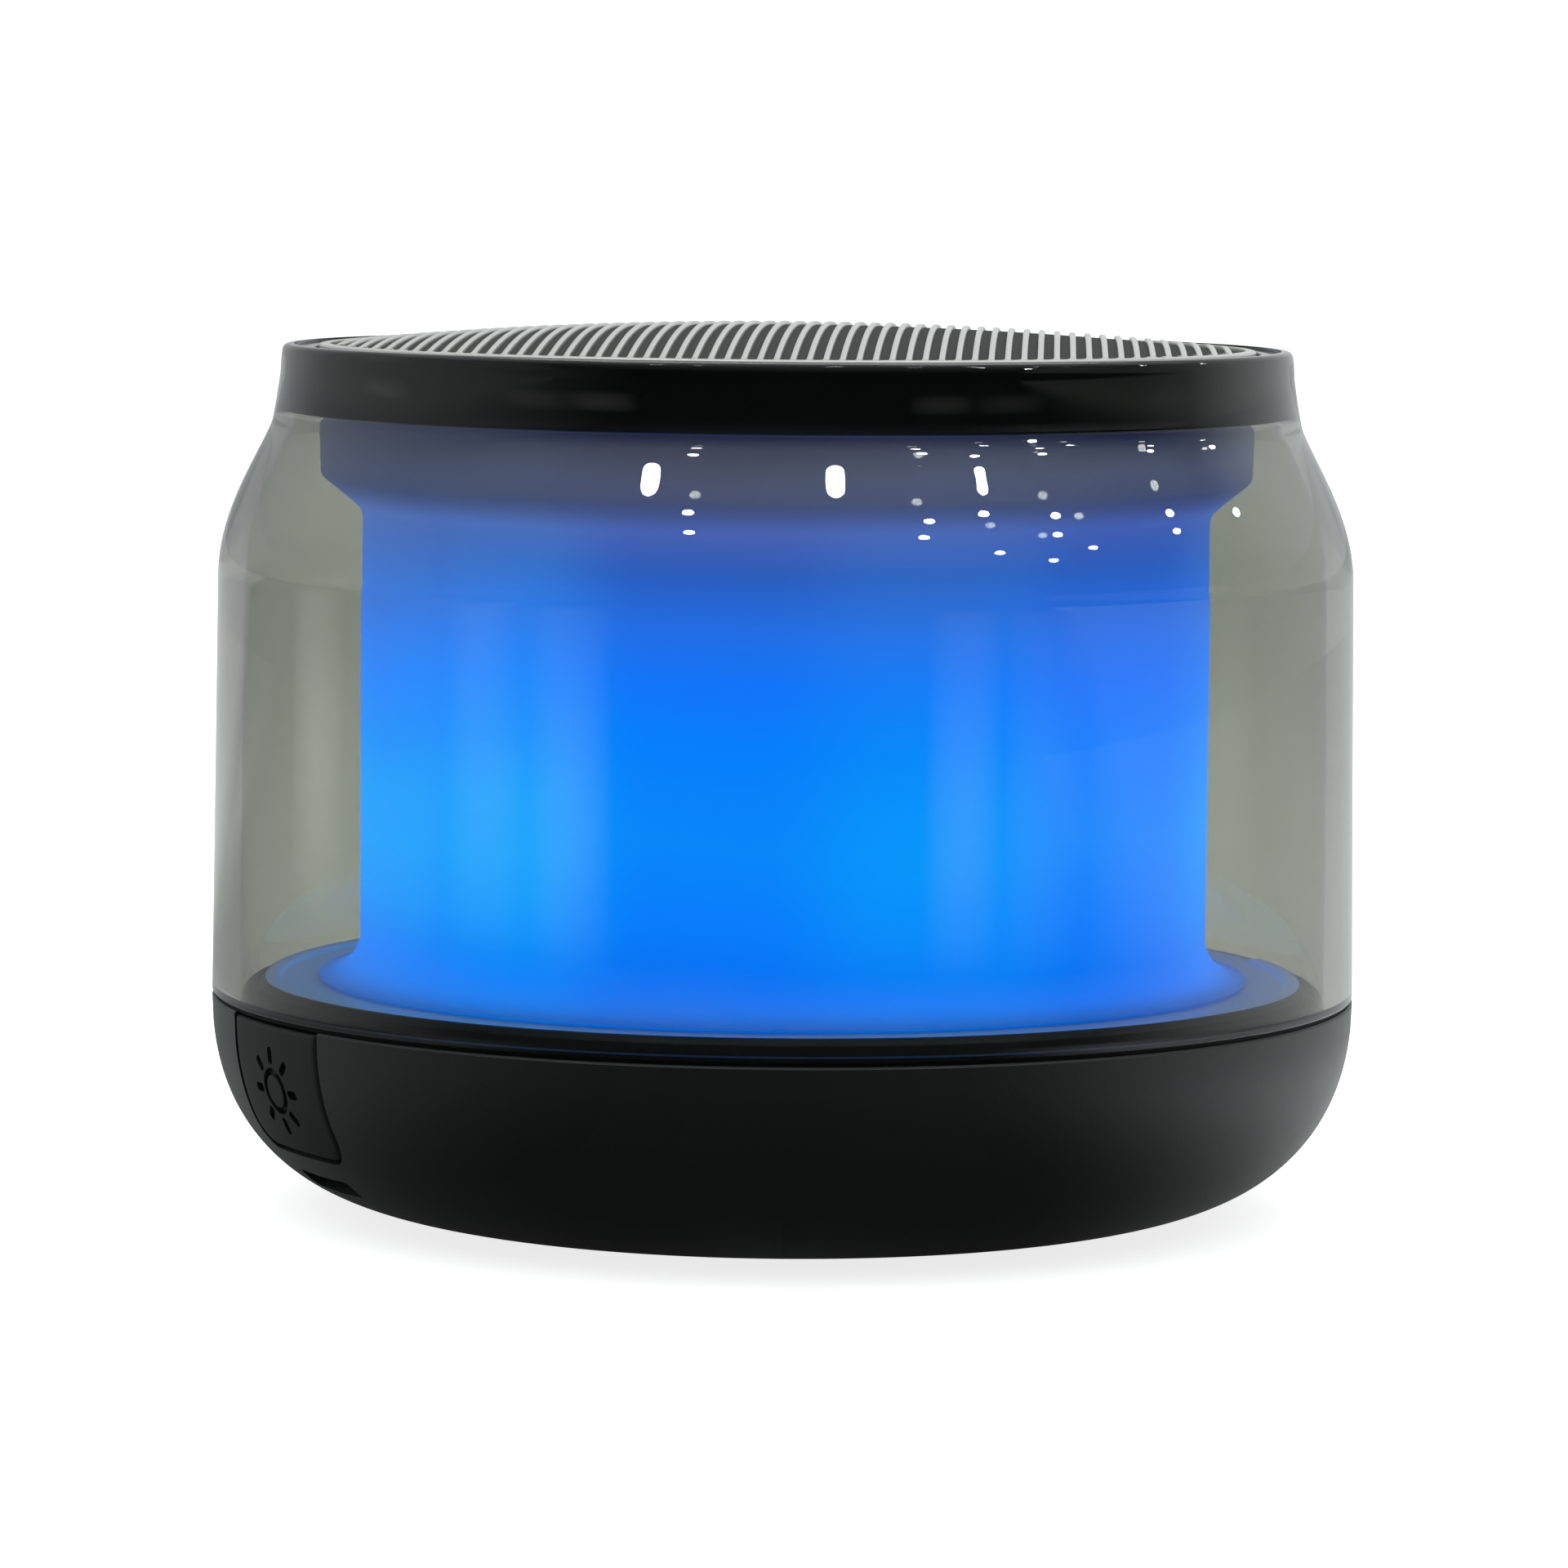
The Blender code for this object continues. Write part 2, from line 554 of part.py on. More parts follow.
def build_screws(material):
    outline = [(0.0, SCREW_HEAD_LOW_Z), (SCREW_HEAD_RADIUS, SCREW_HEAD_LOW_Z),
               (SCREW_HEAD_RADIUS, SCREW_HEAD_TOP_Z), (SCREW_RADIUS, SCREW_HEAD_TOP_Z),
               (SCREW_RADIUS, SCREW_TIP_Z - SCREW_RADIUS), (0.0, SCREW_TIP_Z)]
    mesh = lathe_mesh("cover_screw", outline, SCREW_STEPS)
    for i, (x, y) in enumerate(POSTS):
        screw = add_object(f"cover_screw_{i + 1}", mesh, material)
        screw.location = (x, y, 0)


# ---- keys, switches and ports -------------------------------------------------------------------
def bay_block(bm):
    """The solid that fills one bay: its front follows the bowl, its back is flat. Returns back faces."""
    across = 8
    up = 4
    half = KEY_HALF_WIDTH
    grid = []
    for i in range(across + 1):
        x = -half * math.cos(math.pi * i / across)
        over = max(0.0, abs(x) - (half - KEY_CORNER))
        low = KEY_BOTTOM_Z + KEY_CORNER - math.sqrt(max(KEY_CORNER ** 2 - over ** 2, 0.0))
        column = []
        for j in range(up + 1):
            z = low + (KEY_TOP_Z - low) * j / up
            column.append(bm.verts.new((x, -math.sqrt(bowl_radius(z) ** 2 - x ** 2), z)))
        grid.append(column)
    faces = []
    for left, right in zip(grid, grid[1:]):
        for j in range(up):
            faces.append(bm.faces.new((left[j], right[j], right[j + 1], left[j + 1])))
    moved = bmesh.ops.extrude_face_region(bm, geom=faces, use_keep_orig=True)["geom"]
    for vert in moved:
        if isinstance(vert, bmesh.types.BMVert):
            vert.co.y = KEY_BACK_Y
    return [face for face in moved if isinstance(face, bmesh.types.BMFace)]


def key_mesh(name):
    """A key with the stem that reaches its switch, placed about the key's own centre."""
    bm = bmesh.new()
    back = bay_block(bm)
    stem = [face for face in back if abs(face.calc_center_median().x) < KEY_STEM_HALF
            and abs(face.calc_center_median().z - KEY_STEM_Z) < 1.0 * MM]
    push_faces(bm, stem, KEY_STEM_Y)
    bmesh.ops.translate(bm, verts=bm.verts, vec=(0, BODY_RADIUS, -KEY_STEM_Z))
    return finish_mesh(bm, name)


def plunger_mesh():
    """The switch's plunger, placed about the key's centre."""
    bm = bmesh.new()
    front_y = KEY_STEM_Y + GAP
    add_box(bm, (-PLUNGER_HALF_WIDTH, front_y, KEY_STEM_Z - PLUNGER_HALF_HEIGHT),
            (PLUNGER_HALF_WIDTH, front_y + PLUNGER_LENGTH, KEY_STEM_Z + PLUNGER_HALF_HEIGHT))
    bmesh.ops.translate(bm, verts=bm.verts, vec=(0, BODY_RADIUS, -KEY_STEM_Z))
    return finish_mesh(bm, "switch_plunger")


def switch_mesh():
    """A side-push switch body with a pocket for its plunger."""
    width, depth, height = SWITCH_SIZE
    bm = bmesh.new()
    add_box(bm, (-width / 2, SWITCH_FRONT_Y, KEY_STEM_Z - height / 2),
            (width / 2, SWITCH_FRONT_Y + depth, KEY_STEM_Z + height / 2))
    hollow_front(bm, SWITCH_WALL, SWITCH_POCKET)
    return finish_mesh(bm, "side_switch")


def build_keys(key_material, switch_material, plunger_material):
    key = key_mesh("bay_key")
    plunger = plunger_mesh()
    switch = switch_mesh()
    for name, angle in zip(KEY_NAMES, BAY_ANGLES):
        axis = bpy.data.objects.new(name + "_axis", None)
        bpy.context.collection.objects.link(axis)
        axis.location = (BODY_RADIUS * math.sin(angle), -BODY_RADIUS * math.cos(angle), KEY_STEM_Z)
        axis.rotation_euler = (0, 0, angle)
        add_object(name, key, key_material, axis)
        add_object(name + "_plunger", plunger, plunger_material, axis)
        body = add_object(name + "_switch", switch, switch_material)
        body.rotation_euler = (0, 0, angle)


def build_port_plate(material):
    bm = bmesh.new()
    bay_block(bm)
    plate = add_object("port_plate", finish_mesh(bm, "port_plate"), material)
    plate.rotation_euler = (0, 0, PORT_ANGLE)
    bm = bmesh.new()
    for half_width, low_z, high_z in ((USB_HALF_WIDTH, BOARD_TOP_Z + GAP, BOARD_TOP_Z + GAP + USB_HEIGHT),
                                      (CARD_HALF_WIDTH, CARD_LOW_Z, BOARD_Z - GAP)):
        across = half_width + MOUTH_MARGIN
        add_box(bm, (-across, BAY_FRONT_Y, low_z - MOUTH_MARGIN), (across, BAY_BACK_Y, high_z + MOUTH_MARGIN))
    mouths = make_cutter(add_object("port_mouths_shape", finish_mesh(bm, "port_mouths_shape"), None))
    mouths.rotation_euler = (0, 0, PORT_ANGLE)
    add_boolean(plate, mouths, "DIFFERENCE")


def socket(name, low, high, wall, depth, material):
    """A socket behind the port plate: a box with a deep, empty mouth in its front face."""
    bm = bmesh.new()
    add_box(bm, low, high)
    hollow_front(bm, wall, depth)
    item = add_object(name, finish_mesh(bm, name), material)
    item.rotation_euler = (0, 0, PORT_ANGLE)


def build_sockets(material):
    usb_z = BOARD_TOP_Z + GAP
    socket("usb_socket", (-USB_HALF_WIDTH, SOCKET_FRONT_Y, usb_z),
           (USB_HALF_WIDTH, USB_BACK_Y, usb_z + USB_HEIGHT), USB_WALL, USB_DEPTH, material)
    socket("card_slot", (-CARD_HALF_WIDTH, SOCKET_FRONT_Y, CARD_LOW_Z),
           (CARD_HALF_WIDTH, CARD_BACK_Y, BOARD_Z - GAP), CARD_WALL, CARD_DEPTH, material)


# ---- electronics --------------------------------------------------------------------------------
def build_board_parts(chip, steel):
    """The two main chips and the microphone capsule, on top of the board."""
    low_z = BOARD_TOP_Z + GAP
    box("audio_chip", (-3.5 * MM, 5.0 * MM, low_z), (3.5 * MM, 12.0 * MM, low_z + 1.0 * MM), chip)
    box("charger_chip", (12.0 * MM, -9.0 * MM, low_z), (17.0 * MM, -5.0 * MM, low_z + 1.3 * MM), chip)
    outline = [(0.0, low_z), (2.0 * MM, low_z), (2.0 * MM, low_z + 1.6 * MM), (0.0, low_z + 1.6 * MM)]
    capsule = lathe("microphone", outline, steel, SCREW_STEPS)
    capsule.location = (19.0 * MM, -19.0 * MM, 0)


def build_main_board(material):
    """A round board with a tab under the sockets, and holes for the posts and the battery's lead."""
    outline = [(0.0, BOARD_Z), (BOARD_RADIUS, BOARD_Z), (BOARD_RADIUS, BOARD_TOP_Z), (0.0, BOARD_TOP_Z)]
    board = lathe("main_board", outline, material, MIDDLE_STEPS)
    bm = bmesh.new()
    add_box(bm, (-BOARD_TAB_HALF, BOARD_TAB_FRONT_Y, BOARD_Z),
            (BOARD_TAB_HALF, BOARD_TAB_BACK_Y, BOARD_TOP_Z), PORT_ANGLE)
    tab = make_cutter(add_object("board_tab_shape", finish_mesh(bm, "board_tab_shape"), None))
    places = POSTS + [(-BATTERY_LEAD_X, 0.0)]
    holes = pillars("board_holes_shape", places, BOARD_Z - OVERCUT, BOARD_TOP_Z + OVERCUT, POST_RADIUS + GAP)
    add_boolean(board, tab, "UNION")
    add_boolean(board, holes, "DIFFERENCE")


def build_battery(material):
    width, depth, height = BATTERY_SIZE
    low_z = COVER_TOP_Z + GAP
    bm = bmesh.new()
    add_box(bm, (-width / 2, -depth / 2, low_z), (width / 2, depth / 2, low_z + height))
    bmesh.ops.bevel(bm, geom=list(bm.edges), offset=BATTERY_ROUND, offset_type="OFFSET", segments=2,
                    profile=0.5, affect="EDGES", material=-1)
    add_object("battery_cell", finish_mesh(bm, "battery_cell"), material)


def build_leds(board_material, led_material):
    top_z = LED_BOARD_Z + LED_BOARD_THICKNESS
    ring("led_board", LED_BOARD_INNER, LED_BOARD_OUTER, LED_BOARD_Z, top_z, board_material, MIDDLE_STEPS)
    bm = bmesh.new()
    add_box(bm, (-LED_HALF_WIDTH, -LED_RING_RADIUS - LED_HALF_DEPTH, top_z + GAP),
            (LED_HALF_WIDTH, -LED_RING_RADIUS + LED_HALF_DEPTH, top_z + GAP + LED_HEIGHT))
    mesh = finish_mesh(bm, "led")
    for i in range(LED_COUNT):
        led = add_object(f"led_{i + 1}", mesh, led_material)
        led.rotation_euler = (0, 0, FIRST_LED + math.tau * i / LED_COUNT)


# ---- loudspeaker --------------------------------------------------------------------------------
def build_chamber(material):
    outline = [(CHAMBER_FLANGE_RADIUS, NECK_Z), (CHAMBER_FLANGE_RADIUS, CHAMBER_TOP_Z),
               (25.2 * MM, CHAMBER_TOP_Z), (23.4 * MM, CHAMBER_FLOOR_Z + CHAMBER_FLOOR),
               (CHAMBER_VENT_RADIUS, CHAMBER_FLOOR_Z + CHAMBER_FLOOR), (CHAMBER_VENT_RADIUS, CHAMBER_FLOOR_Z),
               (25.0 * MM, CHAMBER_FLOOR_Z), (CHAMBER_RADIUS, NECK_Z)]
    lathe("speaker_chamber", outline, material, MIDDLE_STEPS)


def build_basket(material):
    floor_top = BASKET_FLOOR_Z + BASKET_SHEET
    outline = [(DRIVER_RADIUS, BASKET_SEAT_Z), (DRIVER_RADIUS, BASKET_SEAT_Z + 1.0 * MM),
               (23.7 * MM, BASKET_SEAT_Z + 1.0 * MM), (16.0 * MM, floor_top), (9.0 * MM, floor_top),
               (9.0 * MM, BASKET_FLOOR_Z), (16.8 * MM, BASKET_FLOOR_Z), (24.5 * MM, BASKET_SEAT_Z)]
    basket = lathe("driver_basket", outline, material, MIDDLE_STEPS)
    bm = bmesh.new()
    for i in range(BASKET_WINDOWS):
        turn = math.tau * (i + 0.5) / BASKET_WINDOWS
        add_box(bm, (-6.0 * MM, -26.0 * MM, 52.6 * MM), (6.0 * MM, -14.0 * MM, 58.8 * MM), turn)
    windows = make_cutter(add_object("basket_windows_shape", finish_mesh(bm, "basket_windows_shape"), None))
    add_boolean(basket, windows, "DIFFERENCE")


def ring(name, inner, outer, low_z, high_z, material, steps=INNER_STEPS):
    outline = [(inner, low_z), (outer, low_z), (outer, high_z), (inner, high_z)]
    return lathe(name, outline, material, steps)


def build_motor(steel, ferrite):
    floor_top = YOKE_LOW_Z + YOKE_THICKNESS
    pole_top = TOP_PLATE_Z + TOP_PLATE_THICKNESS
    outline = [(0.0, YOKE_LOW_Z), (YOKE_RADIUS, YOKE_LOW_Z), (YOKE_RADIUS, floor_top),
               (POLE_RADIUS, floor_top), (POLE_RADIUS, pole_top), (0.0, pole_top)]
    lathe("driver_yoke", outline, steel, INNER_STEPS)
    ring("driver_magnet", MAGNET_INNER, MAGNET_OUTER, floor_top + GAP, TOP_PLATE_Z - GAP, ferrite)
    ring("driver_top_plate", COIL_OUTER + 0.35 * MM, YOKE_RADIUS, TOP_PLATE_Z, pole_top, steel)


def build_moving_cone(paper, copper):
    outline = [(CONE_INNER, 54.4 * MM), (CONE_OUTER, 60.6 * MM), (CONE_OUTER, 61.1 * MM),
               (CONE_INNER, 55.0 * MM)]
    lathe("driver_cone", outline, paper, INNER_STEPS)
    cap = [(0.0, 59.0 * MM), (4.6 * MM, 58.4 * MM), (8.8 * MM, 56.5 * MM), (8.8 * MM, 56.0 * MM),
           (8.2 * MM, 56.0 * MM), (4.4 * MM, 57.9 * MM), (0.0, 58.5 * MM)]
    lathe("dust_cap", cap, paper, INNER_STEPS)
    ring("voice_coil", COIL_INNER, COIL_OUTER, 45.5 * MM, 55.2 * MM, copper)


def wave_ring(name, stations, thickness, material):
    """A soft ring with a rolled or wavy section, given its middle line."""
    half = thickness / 2
    top = [(r, z + half) for r, z in stations]
    under = [(r, z - half) for r, z in stations]
    lathe(name, top + under[::-1], material, INNER_STEPS)


def build_suspension(rubber, cloth, gasket):
    surround = [(20.7 * MM, 61.6 * MM), (21.9 * MM, 61.7 * MM), (22.6 * MM, 62.7 * MM),
                (23.8 * MM, 62.7 * MM), (24.5 * MM, 61.9 * MM), (26.3 * MM, 61.9 * MM)]
    wave_ring("cone_surround", surround, 0.35 * MM, rubber)
    spider = [(7.5 * MM, 52.2 * MM), (9.4 * MM, 52.6 * MM), (11.4 * MM, 51.9 * MM),
              (13.4 * MM, 52.6 * MM), (15.2 * MM, 52.1 * MM)]
    wave_ring("coil_spider", spider, 0.3 * MM, cloth)
    ring("driver_gasket", DRIVER_RADIUS - 1.7 * MM, DRIVER_RADIUS - 0.2 * MM, 62.4 * MM, 62.9 * MM, gasket)


# ---- wiring -------------------------------------------------------------------------------------
def build_leads(red, black):
    board_top = BOARD_TOP_Z + GAP + WIRE_RADIUS
    for name, side, material in (("speaker_lead_plus", 1, red), ("speaker_lead_minus", -1, black)):
        y = side * 1.6 * MM
        route = [(21.2 * MM, y, 50.5 * MM), (21.4 * MM, y, 40.0 * MM), (17.0 * MM, y, 32.0 * MM),
                 (6.0 * MM, y, 28.5 * MM), (3.0 * MM, y, 24.0 * MM), (3.0 * MM, y, 17.0 * MM),
                 (5.0 * MM, y, 12.4 * MM), (9.0 * MM, y, board_top)]
        lead(name, route, material)
    battery = [(-22.4 * MM, 0, 5.2 * MM), (-25.0 * MM, 0, 5.8 * MM), (-BATTERY_LEAD_X, 0, 8.4 * MM),
               (-BATTERY_LEAD_X, 0, 11.2 * MM), (-23.5 * MM, 0, 12.3 * MM), (-20.0 * MM, 0, board_top)]
    lead("battery_lead", battery, red)
    led = [(-23.3 * MM, 0, 18.2 * MM), (-15.0 * MM, 0, 18.9 * MM), (-9.0 * MM, 0, 17.5 * MM),
           (-8.0 * MM, 0, 13.5 * MM), (-10.5 * MM, 0, board_top)]
    lead("led_lead", led, black)


def main():
    clear_scene()
    smoked = make_material("smoked_clear", (0.45, 0.45, 0.43), 0.04, transmission=1.0)
    gloss_black = make_material("gloss_black", (0.012, 0.013, 0.015), 0.12)
    matte_black = make_material("matte_black", (0.022, 0.025, 0.026), 0.5)
    grille_black = make_material("grille_black", (0.05, 0.05, 0.048), 0.35)
    cloth_black = make_material("cloth_black", (0.02, 0.02, 0.02), 0.9)
    frosted = make_material("frosted_lit", (0.05, 0.35, 1.0), 0.5, glow=1.0)
    slate = make_material("slate", (0.09, 0.11, 0.15), 0.4)
    rubber = make_material("rubber", (0.02, 0.021, 0.022), 0.7)
    white_plastic = make_material("white_plastic", (0.75, 0.76, 0.78), 0.5)
    board_green = make_material("board_green", (0.02, 0.14, 0.07), 0.45)
    chip_black = make_material("chip_black", (0.015, 0.015, 0.016), 0.4)
    steel = make_material("steel", (0.6, 0.6, 0.6), 0.3, metallic=1.0)
    dark_steel = make_material("dark_steel", (0.12, 0.12, 0.12), 0.4, metallic=1.0)
    ferrite = make_material("ferrite", (0.05, 0.05, 0.055), 0.6)
    copper = make_material("copper", (0.7, 0.33, 0.18), 0.35, metallic=1.0)
    paper = make_material("cone_paper", (0.03, 0.03, 0.032), 0.8)
    pouch = make_material("battery_foil", (0.5, 0.52, 0.55), 0.3, metallic=1.0)
    led_yellow = make_material("led_lens", (0.9, 0.8, 0.4), 0.3)
    amber_cloth = make_material("amber_cloth", (0.55, 0.4, 0.16), 0.8)
    wire_red = make_material("wire_red", (0.6, 0.03, 0.02), 0.5)
    wire_black = make_material("wire_black", (0.02, 0.02, 0.02), 0.5)

    build_clear_shell(smoked)
    build_collar(gloss_black)
    build_grille(grille_black)
    build_dust_cloth(cloth_black)
    build_light_column(frosted)
    build_floor_disc(slate)
    build_bowl(matte_black)
    build_bottom_cover(matte_black)
    build_foot_pad(rubber)
    build_screws(steel)

    build_keys(rubber, chip_black, white_plastic)
    build_port_plate(rubber)
    build_sockets(steel)
    build_main_board(board_green)
    build_board_parts(chip_black, steel)
    build_battery(pouch)
    build_leds(board_green, led_yellow)

    build_chamber(white_plastic)
    build_basket(dark_steel)
    build_motor(steel, ferrite)
    build_moving_cone(paper, copper)
    build_suspension(rubber, amber_cloth, cloth_black)
    build_leads(wire_red, wire_black)


main()
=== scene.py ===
import math

import bmesh
import bpy
from bpy.props import FloatProperty, FloatVectorProperty, IntProperty, PointerProperty
from mathutils import Matrix, Vector


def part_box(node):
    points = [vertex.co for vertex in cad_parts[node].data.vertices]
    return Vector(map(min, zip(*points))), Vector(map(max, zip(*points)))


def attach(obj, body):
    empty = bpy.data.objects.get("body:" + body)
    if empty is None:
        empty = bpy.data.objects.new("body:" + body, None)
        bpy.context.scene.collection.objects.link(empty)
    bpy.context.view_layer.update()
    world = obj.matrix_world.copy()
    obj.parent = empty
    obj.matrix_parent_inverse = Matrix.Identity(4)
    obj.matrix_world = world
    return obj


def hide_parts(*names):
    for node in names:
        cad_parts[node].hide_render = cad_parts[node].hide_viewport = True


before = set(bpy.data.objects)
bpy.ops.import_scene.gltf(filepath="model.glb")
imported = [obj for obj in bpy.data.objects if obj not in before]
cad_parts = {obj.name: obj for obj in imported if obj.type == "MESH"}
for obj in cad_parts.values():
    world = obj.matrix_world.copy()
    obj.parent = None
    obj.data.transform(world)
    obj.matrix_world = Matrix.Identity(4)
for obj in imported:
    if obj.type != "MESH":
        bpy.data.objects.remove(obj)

bl_info = {
    "name": "Lit Can Speaker",
    "version": (1, 0, 0),
    "blender": (4, 5, 0),
    "location": "View3D > Sidebar > Speaker",
    "description": "Models the finished pieces of a small lit speaker round its packed frame",
    "category": "Add Mesh",
}

MM = 0.001
HOUSING = "housing"

# ---- places read from the frame -----------------------------------------------------------------
SHELL_LOW, SHELL_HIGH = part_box("clear_shell")
COLLAR_LOW, COLLAR_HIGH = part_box("collar_ring")
COLUMN_LOW, COLUMN_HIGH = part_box("light_column")
BOWL_LOW, BOWL_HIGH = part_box("base_bowl")
GRILLE_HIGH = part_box("top_grille")[1]
FLOOR_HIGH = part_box("floor_disc")[1]
PAD_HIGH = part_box("foot_pad")[1]

BODY_RADIUS = SHELL_HIGH.x
SEAM_Z = SHELL_LOW.z
RIM_Z = SHELL_HIGH.z
CROWN_Z = GRILLE_HIGH.z
GAP = SEAM_Z - BOWL_HIGH.z

# ---- the can's outline --------------------------------------------------------------------------
NECK_Z = COLLAR_LOW.z
SHOULDER_Z = 47.0 * MM
WALL_TOP_RADIUS = BODY_RADIUS - 0.4 * MM
NECK_RADIUS = 38.0 * MM
RIM_RADIUS = 37.45 * MM
INNER_NECK = COLLAR_HIGH.x + GAP
INNER_WALL_TOP = WALL_TOP_RADIUS - 2.0 * MM
INNER_FOOT = 40.4 * MM
SHOULDER_SKEW = 0.7
BOWL_BOTTOM_Z = BOWL_LOW.z
BOWL_FLAT_RADIUS = 26.0 * MM
BOWL_POWER = 2.3
BOWL_WALL = 2.0 * MM
LEDGE_RADIUS = 36.9 * MM
LEDGE_TOP_Z = 14.4 * MM
# A black ring in the gap between shell and base: painted shade, put where the seam and the bays' upper gaps
# lie in shadow.
SHADE_RING_INNER, SHADE_RING_OUTER = 40.3 * MM, 42.25 * MM
SHADE_RING_LOW_Z, SHADE_RING_HIGH_Z = 15.95 * MM, SEAM_Z + 0.3 * MM
GRILLE_RADIUS = GRILLE_HIGH.x
SLOT_FIELD_RADIUS = GRILLE_RADIUS - 0.8 * MM
COLUMN_RADIUS = 31.5 * MM
COLUMN_WALL = 1.5 * MM
LAMP_COUNT = 6
FIRST_LAMP = math.radians(20.0)
POSTS = [(sx * 8.0 * MM, sy * 19.8 * MM) for sx in (-1, 1) for sy in (-1, 1)]

# ---- keys, bays and strap slots -----------------------------------------------------------------
KEY_NAMES = ["light_key", "previous_key", "play_key", "next_key", "power_key"]
BAY_ANGLES = [math.radians(-60.1 - 36.0 * i) for i in range(len(KEY_NAMES) + 1)]
KEY_HALF_WIDTH = 6.5 * MM
KEY_BOTTOM_Z = 6.4 * MM
KEY_TOP_Z = 15.8 * MM
KEY_CORNER = 2.0 * MM
KEY_BACK_Y = -39.1 * MM
KEY_STEM_Y = -36.1 * MM
KEY_MARK_Z = 11.0 * MM
STEM_HALF_WIDTH = 2.7 * MM
STEM_LOW_Z, STEM_HIGH_Z = 11.1 * MM, 13.45 * MM
OUTSIDE_Y = -46.0 * MM
BAY_DEPTH = 10.2 * MM
SOCKET_FRONT_Y = -40.3 * MM
SOCKET_BORE_Y = -41.0 * MM
STRAP_SLOT_HALF_SIZE = Vector((3.8, 2.2, 0.95)) * MM
STRAP_SLOT_PLACES = ((-37.3 * MM, 4.1 * MM, 42.0), (-31.4 * MM, 1.6 * MM, 84.0))  # y, z, tilt in degrees

# ---- lamps, in degrees and metres: heading 0 is the front, height 0 is level ---------------------
CARDS = ((-39, 0.06, 0.7), (-54, 0.06, 0.5), (-97, 0.06, 0.8),  # heading, width, radiance
         (32, 0.05, 0.6), (47, 0.06, 0.4), (90, 0.05, 0.25))
CARD_HEIGHT = -2.5
CARD_DISTANCE = 0.2
CARD_TALLNESS = 0.04
CEILING_DISTANCE = 1.5  # and each lamp's heading and height
LARGE_LAMPS = ((13, 50.7), (-36, 48.7))
LARGE_LAMP_SIZE = (0.085, 0.08)
SMALL_LAMPS = ((34, 42), (51, 46), (65, 38), (-24, 45), (-22, 39), (31, 37), (48, 42),
               (62, 33), (68, 27), (92, 26), (94, 30), (113, 23), (46, 29), (57, 24))
SMALL_LAMP_SIZE = (0.055, 0.04)


# ---- settings -----------------------------------------------------------------------------------
def length(name, text, value):
    return FloatProperty(name=name, description=text, default=value, unit="LENGTH", precision=5)


def angle(name, text, degrees):
    return FloatProperty(name=name, description=text, default=math.radians(degrees), unit="ROTATION")


def number(name, text, value):
    return FloatProperty(name=name, description=text, default=value)


def colour(name, text, value):
    return FloatVectorProperty(name=name, description=text, default=value, size=3, min=0.0, max=1.0,
                               subtype="COLOR")


class SpeakerShape(bpy.types.PropertyGroup):
    """Sizes that a user might change."""
    round_steps: IntProperty(name="Round steps", description="Facets round the turned pieces", default=240)
    bar_pitch: length("Bar pitch", "Distance between the grille's bars", 1.14 * MM)
    slot_width: length("Slot width", "Open width between two bars", 0.68 * MM)
    bar_depth: length("Bar depth", "Thickness of the grille's bars above the cloth", 0.3 * MM)
    bar_turn: angle("Bar turn", "Heading of the bars off the front-to-back line", 2.3)
    key_edge: length("Key edge", "Rounding of the keys' edges", 0.35 * MM)
    mark_depth: length("Mark depth", "Depth of the marks sunk into the keys", 0.4 * MM)
    tread_pitch: length("Tread pitch", "Distance between the foot pad's grooves", 2.4 * MM)


class SpeakerFinish(bpy.types.PropertyGroup):
    """Colours and finishes of the visible pieces."""
    smoke: colour("Smoke", "Tint of one crossing of the clear wall", (0.40, 0.42, 0.38))
    gloss_black: colour("Collar", "Glossy collar", (0.004, 0.005, 0.005))
    # The bars' pale cream is a painted highlight: it stands in for the glint that the tops of the dark bars
    # catch from the bright surroundings.
    grille: colour("Grille", "Painted bars", (0.56, 0.56, 0.515))
    cloth: colour("Cloth", "Cloth under the bars", (0.012, 0.012, 0.011))
    diffuser: colour("Diffuser", "Frosted column where it is unlit", (0.42, 0.48, 0.58))
    floor_top: colour("Floor plate", "Top and raised edge of the floor plate", (0.85, 0.80, 0.74))
    floor_rim: colour("Floor rim", "Outermost edge and side of the floor plate", (0.020, 0.024, 0.024))
    # Colour of the black ring at the seam: painted shade for the shadowed gap.
    seam_shade: colour("Seal", "Ring that seals the seam", (0.002, 0.002, 0.002))
    base: colour("Base", "Matt base", (0.0095, 0.0135, 0.0125))
    rubber: colour("Keys", "Soft keys, plate and pad", (0.012, 0.0145, 0.0135))
    glow: number("Glow", "Strength of the lit column", 2.7)


class SpeakerStudio(bpy.types.PropertyGroup):
    """The stage round the speaker."""
    camera_back: length("Camera distance", "From the speaker's axis, along the floor", 496.54 * MM)
    camera_height: length("Camera height", "Above the floor", 78.65 * MM)
    camera_pitch: angle("Camera pitch", "Downwards", 5.425)
    camera_roll: angle("Camera roll", "Round the line of sight", 0.5)
    camera_view: angle("Field of view", "Across the frame", 13.378)
    softbox: number("Softbox", "Radiance of the overhead softbox", 2.2)
    ceiling: number("Ceiling lamps", "Radiance of the ceiling lamps", 45.0)


# ---- mesh helpers -------------------------------------------------------------------------------
def arc(centre, radius, start, end, steps):
    """Points of an arc in the radius-height plane, angles in degrees."""
    turns = [math.radians(start + (end - start) * i / steps) for i in range(steps + 1)]
    return [(centre[0] + radius * math.cos(t), centre[1] + radius * math.sin(t)) for t in turns]


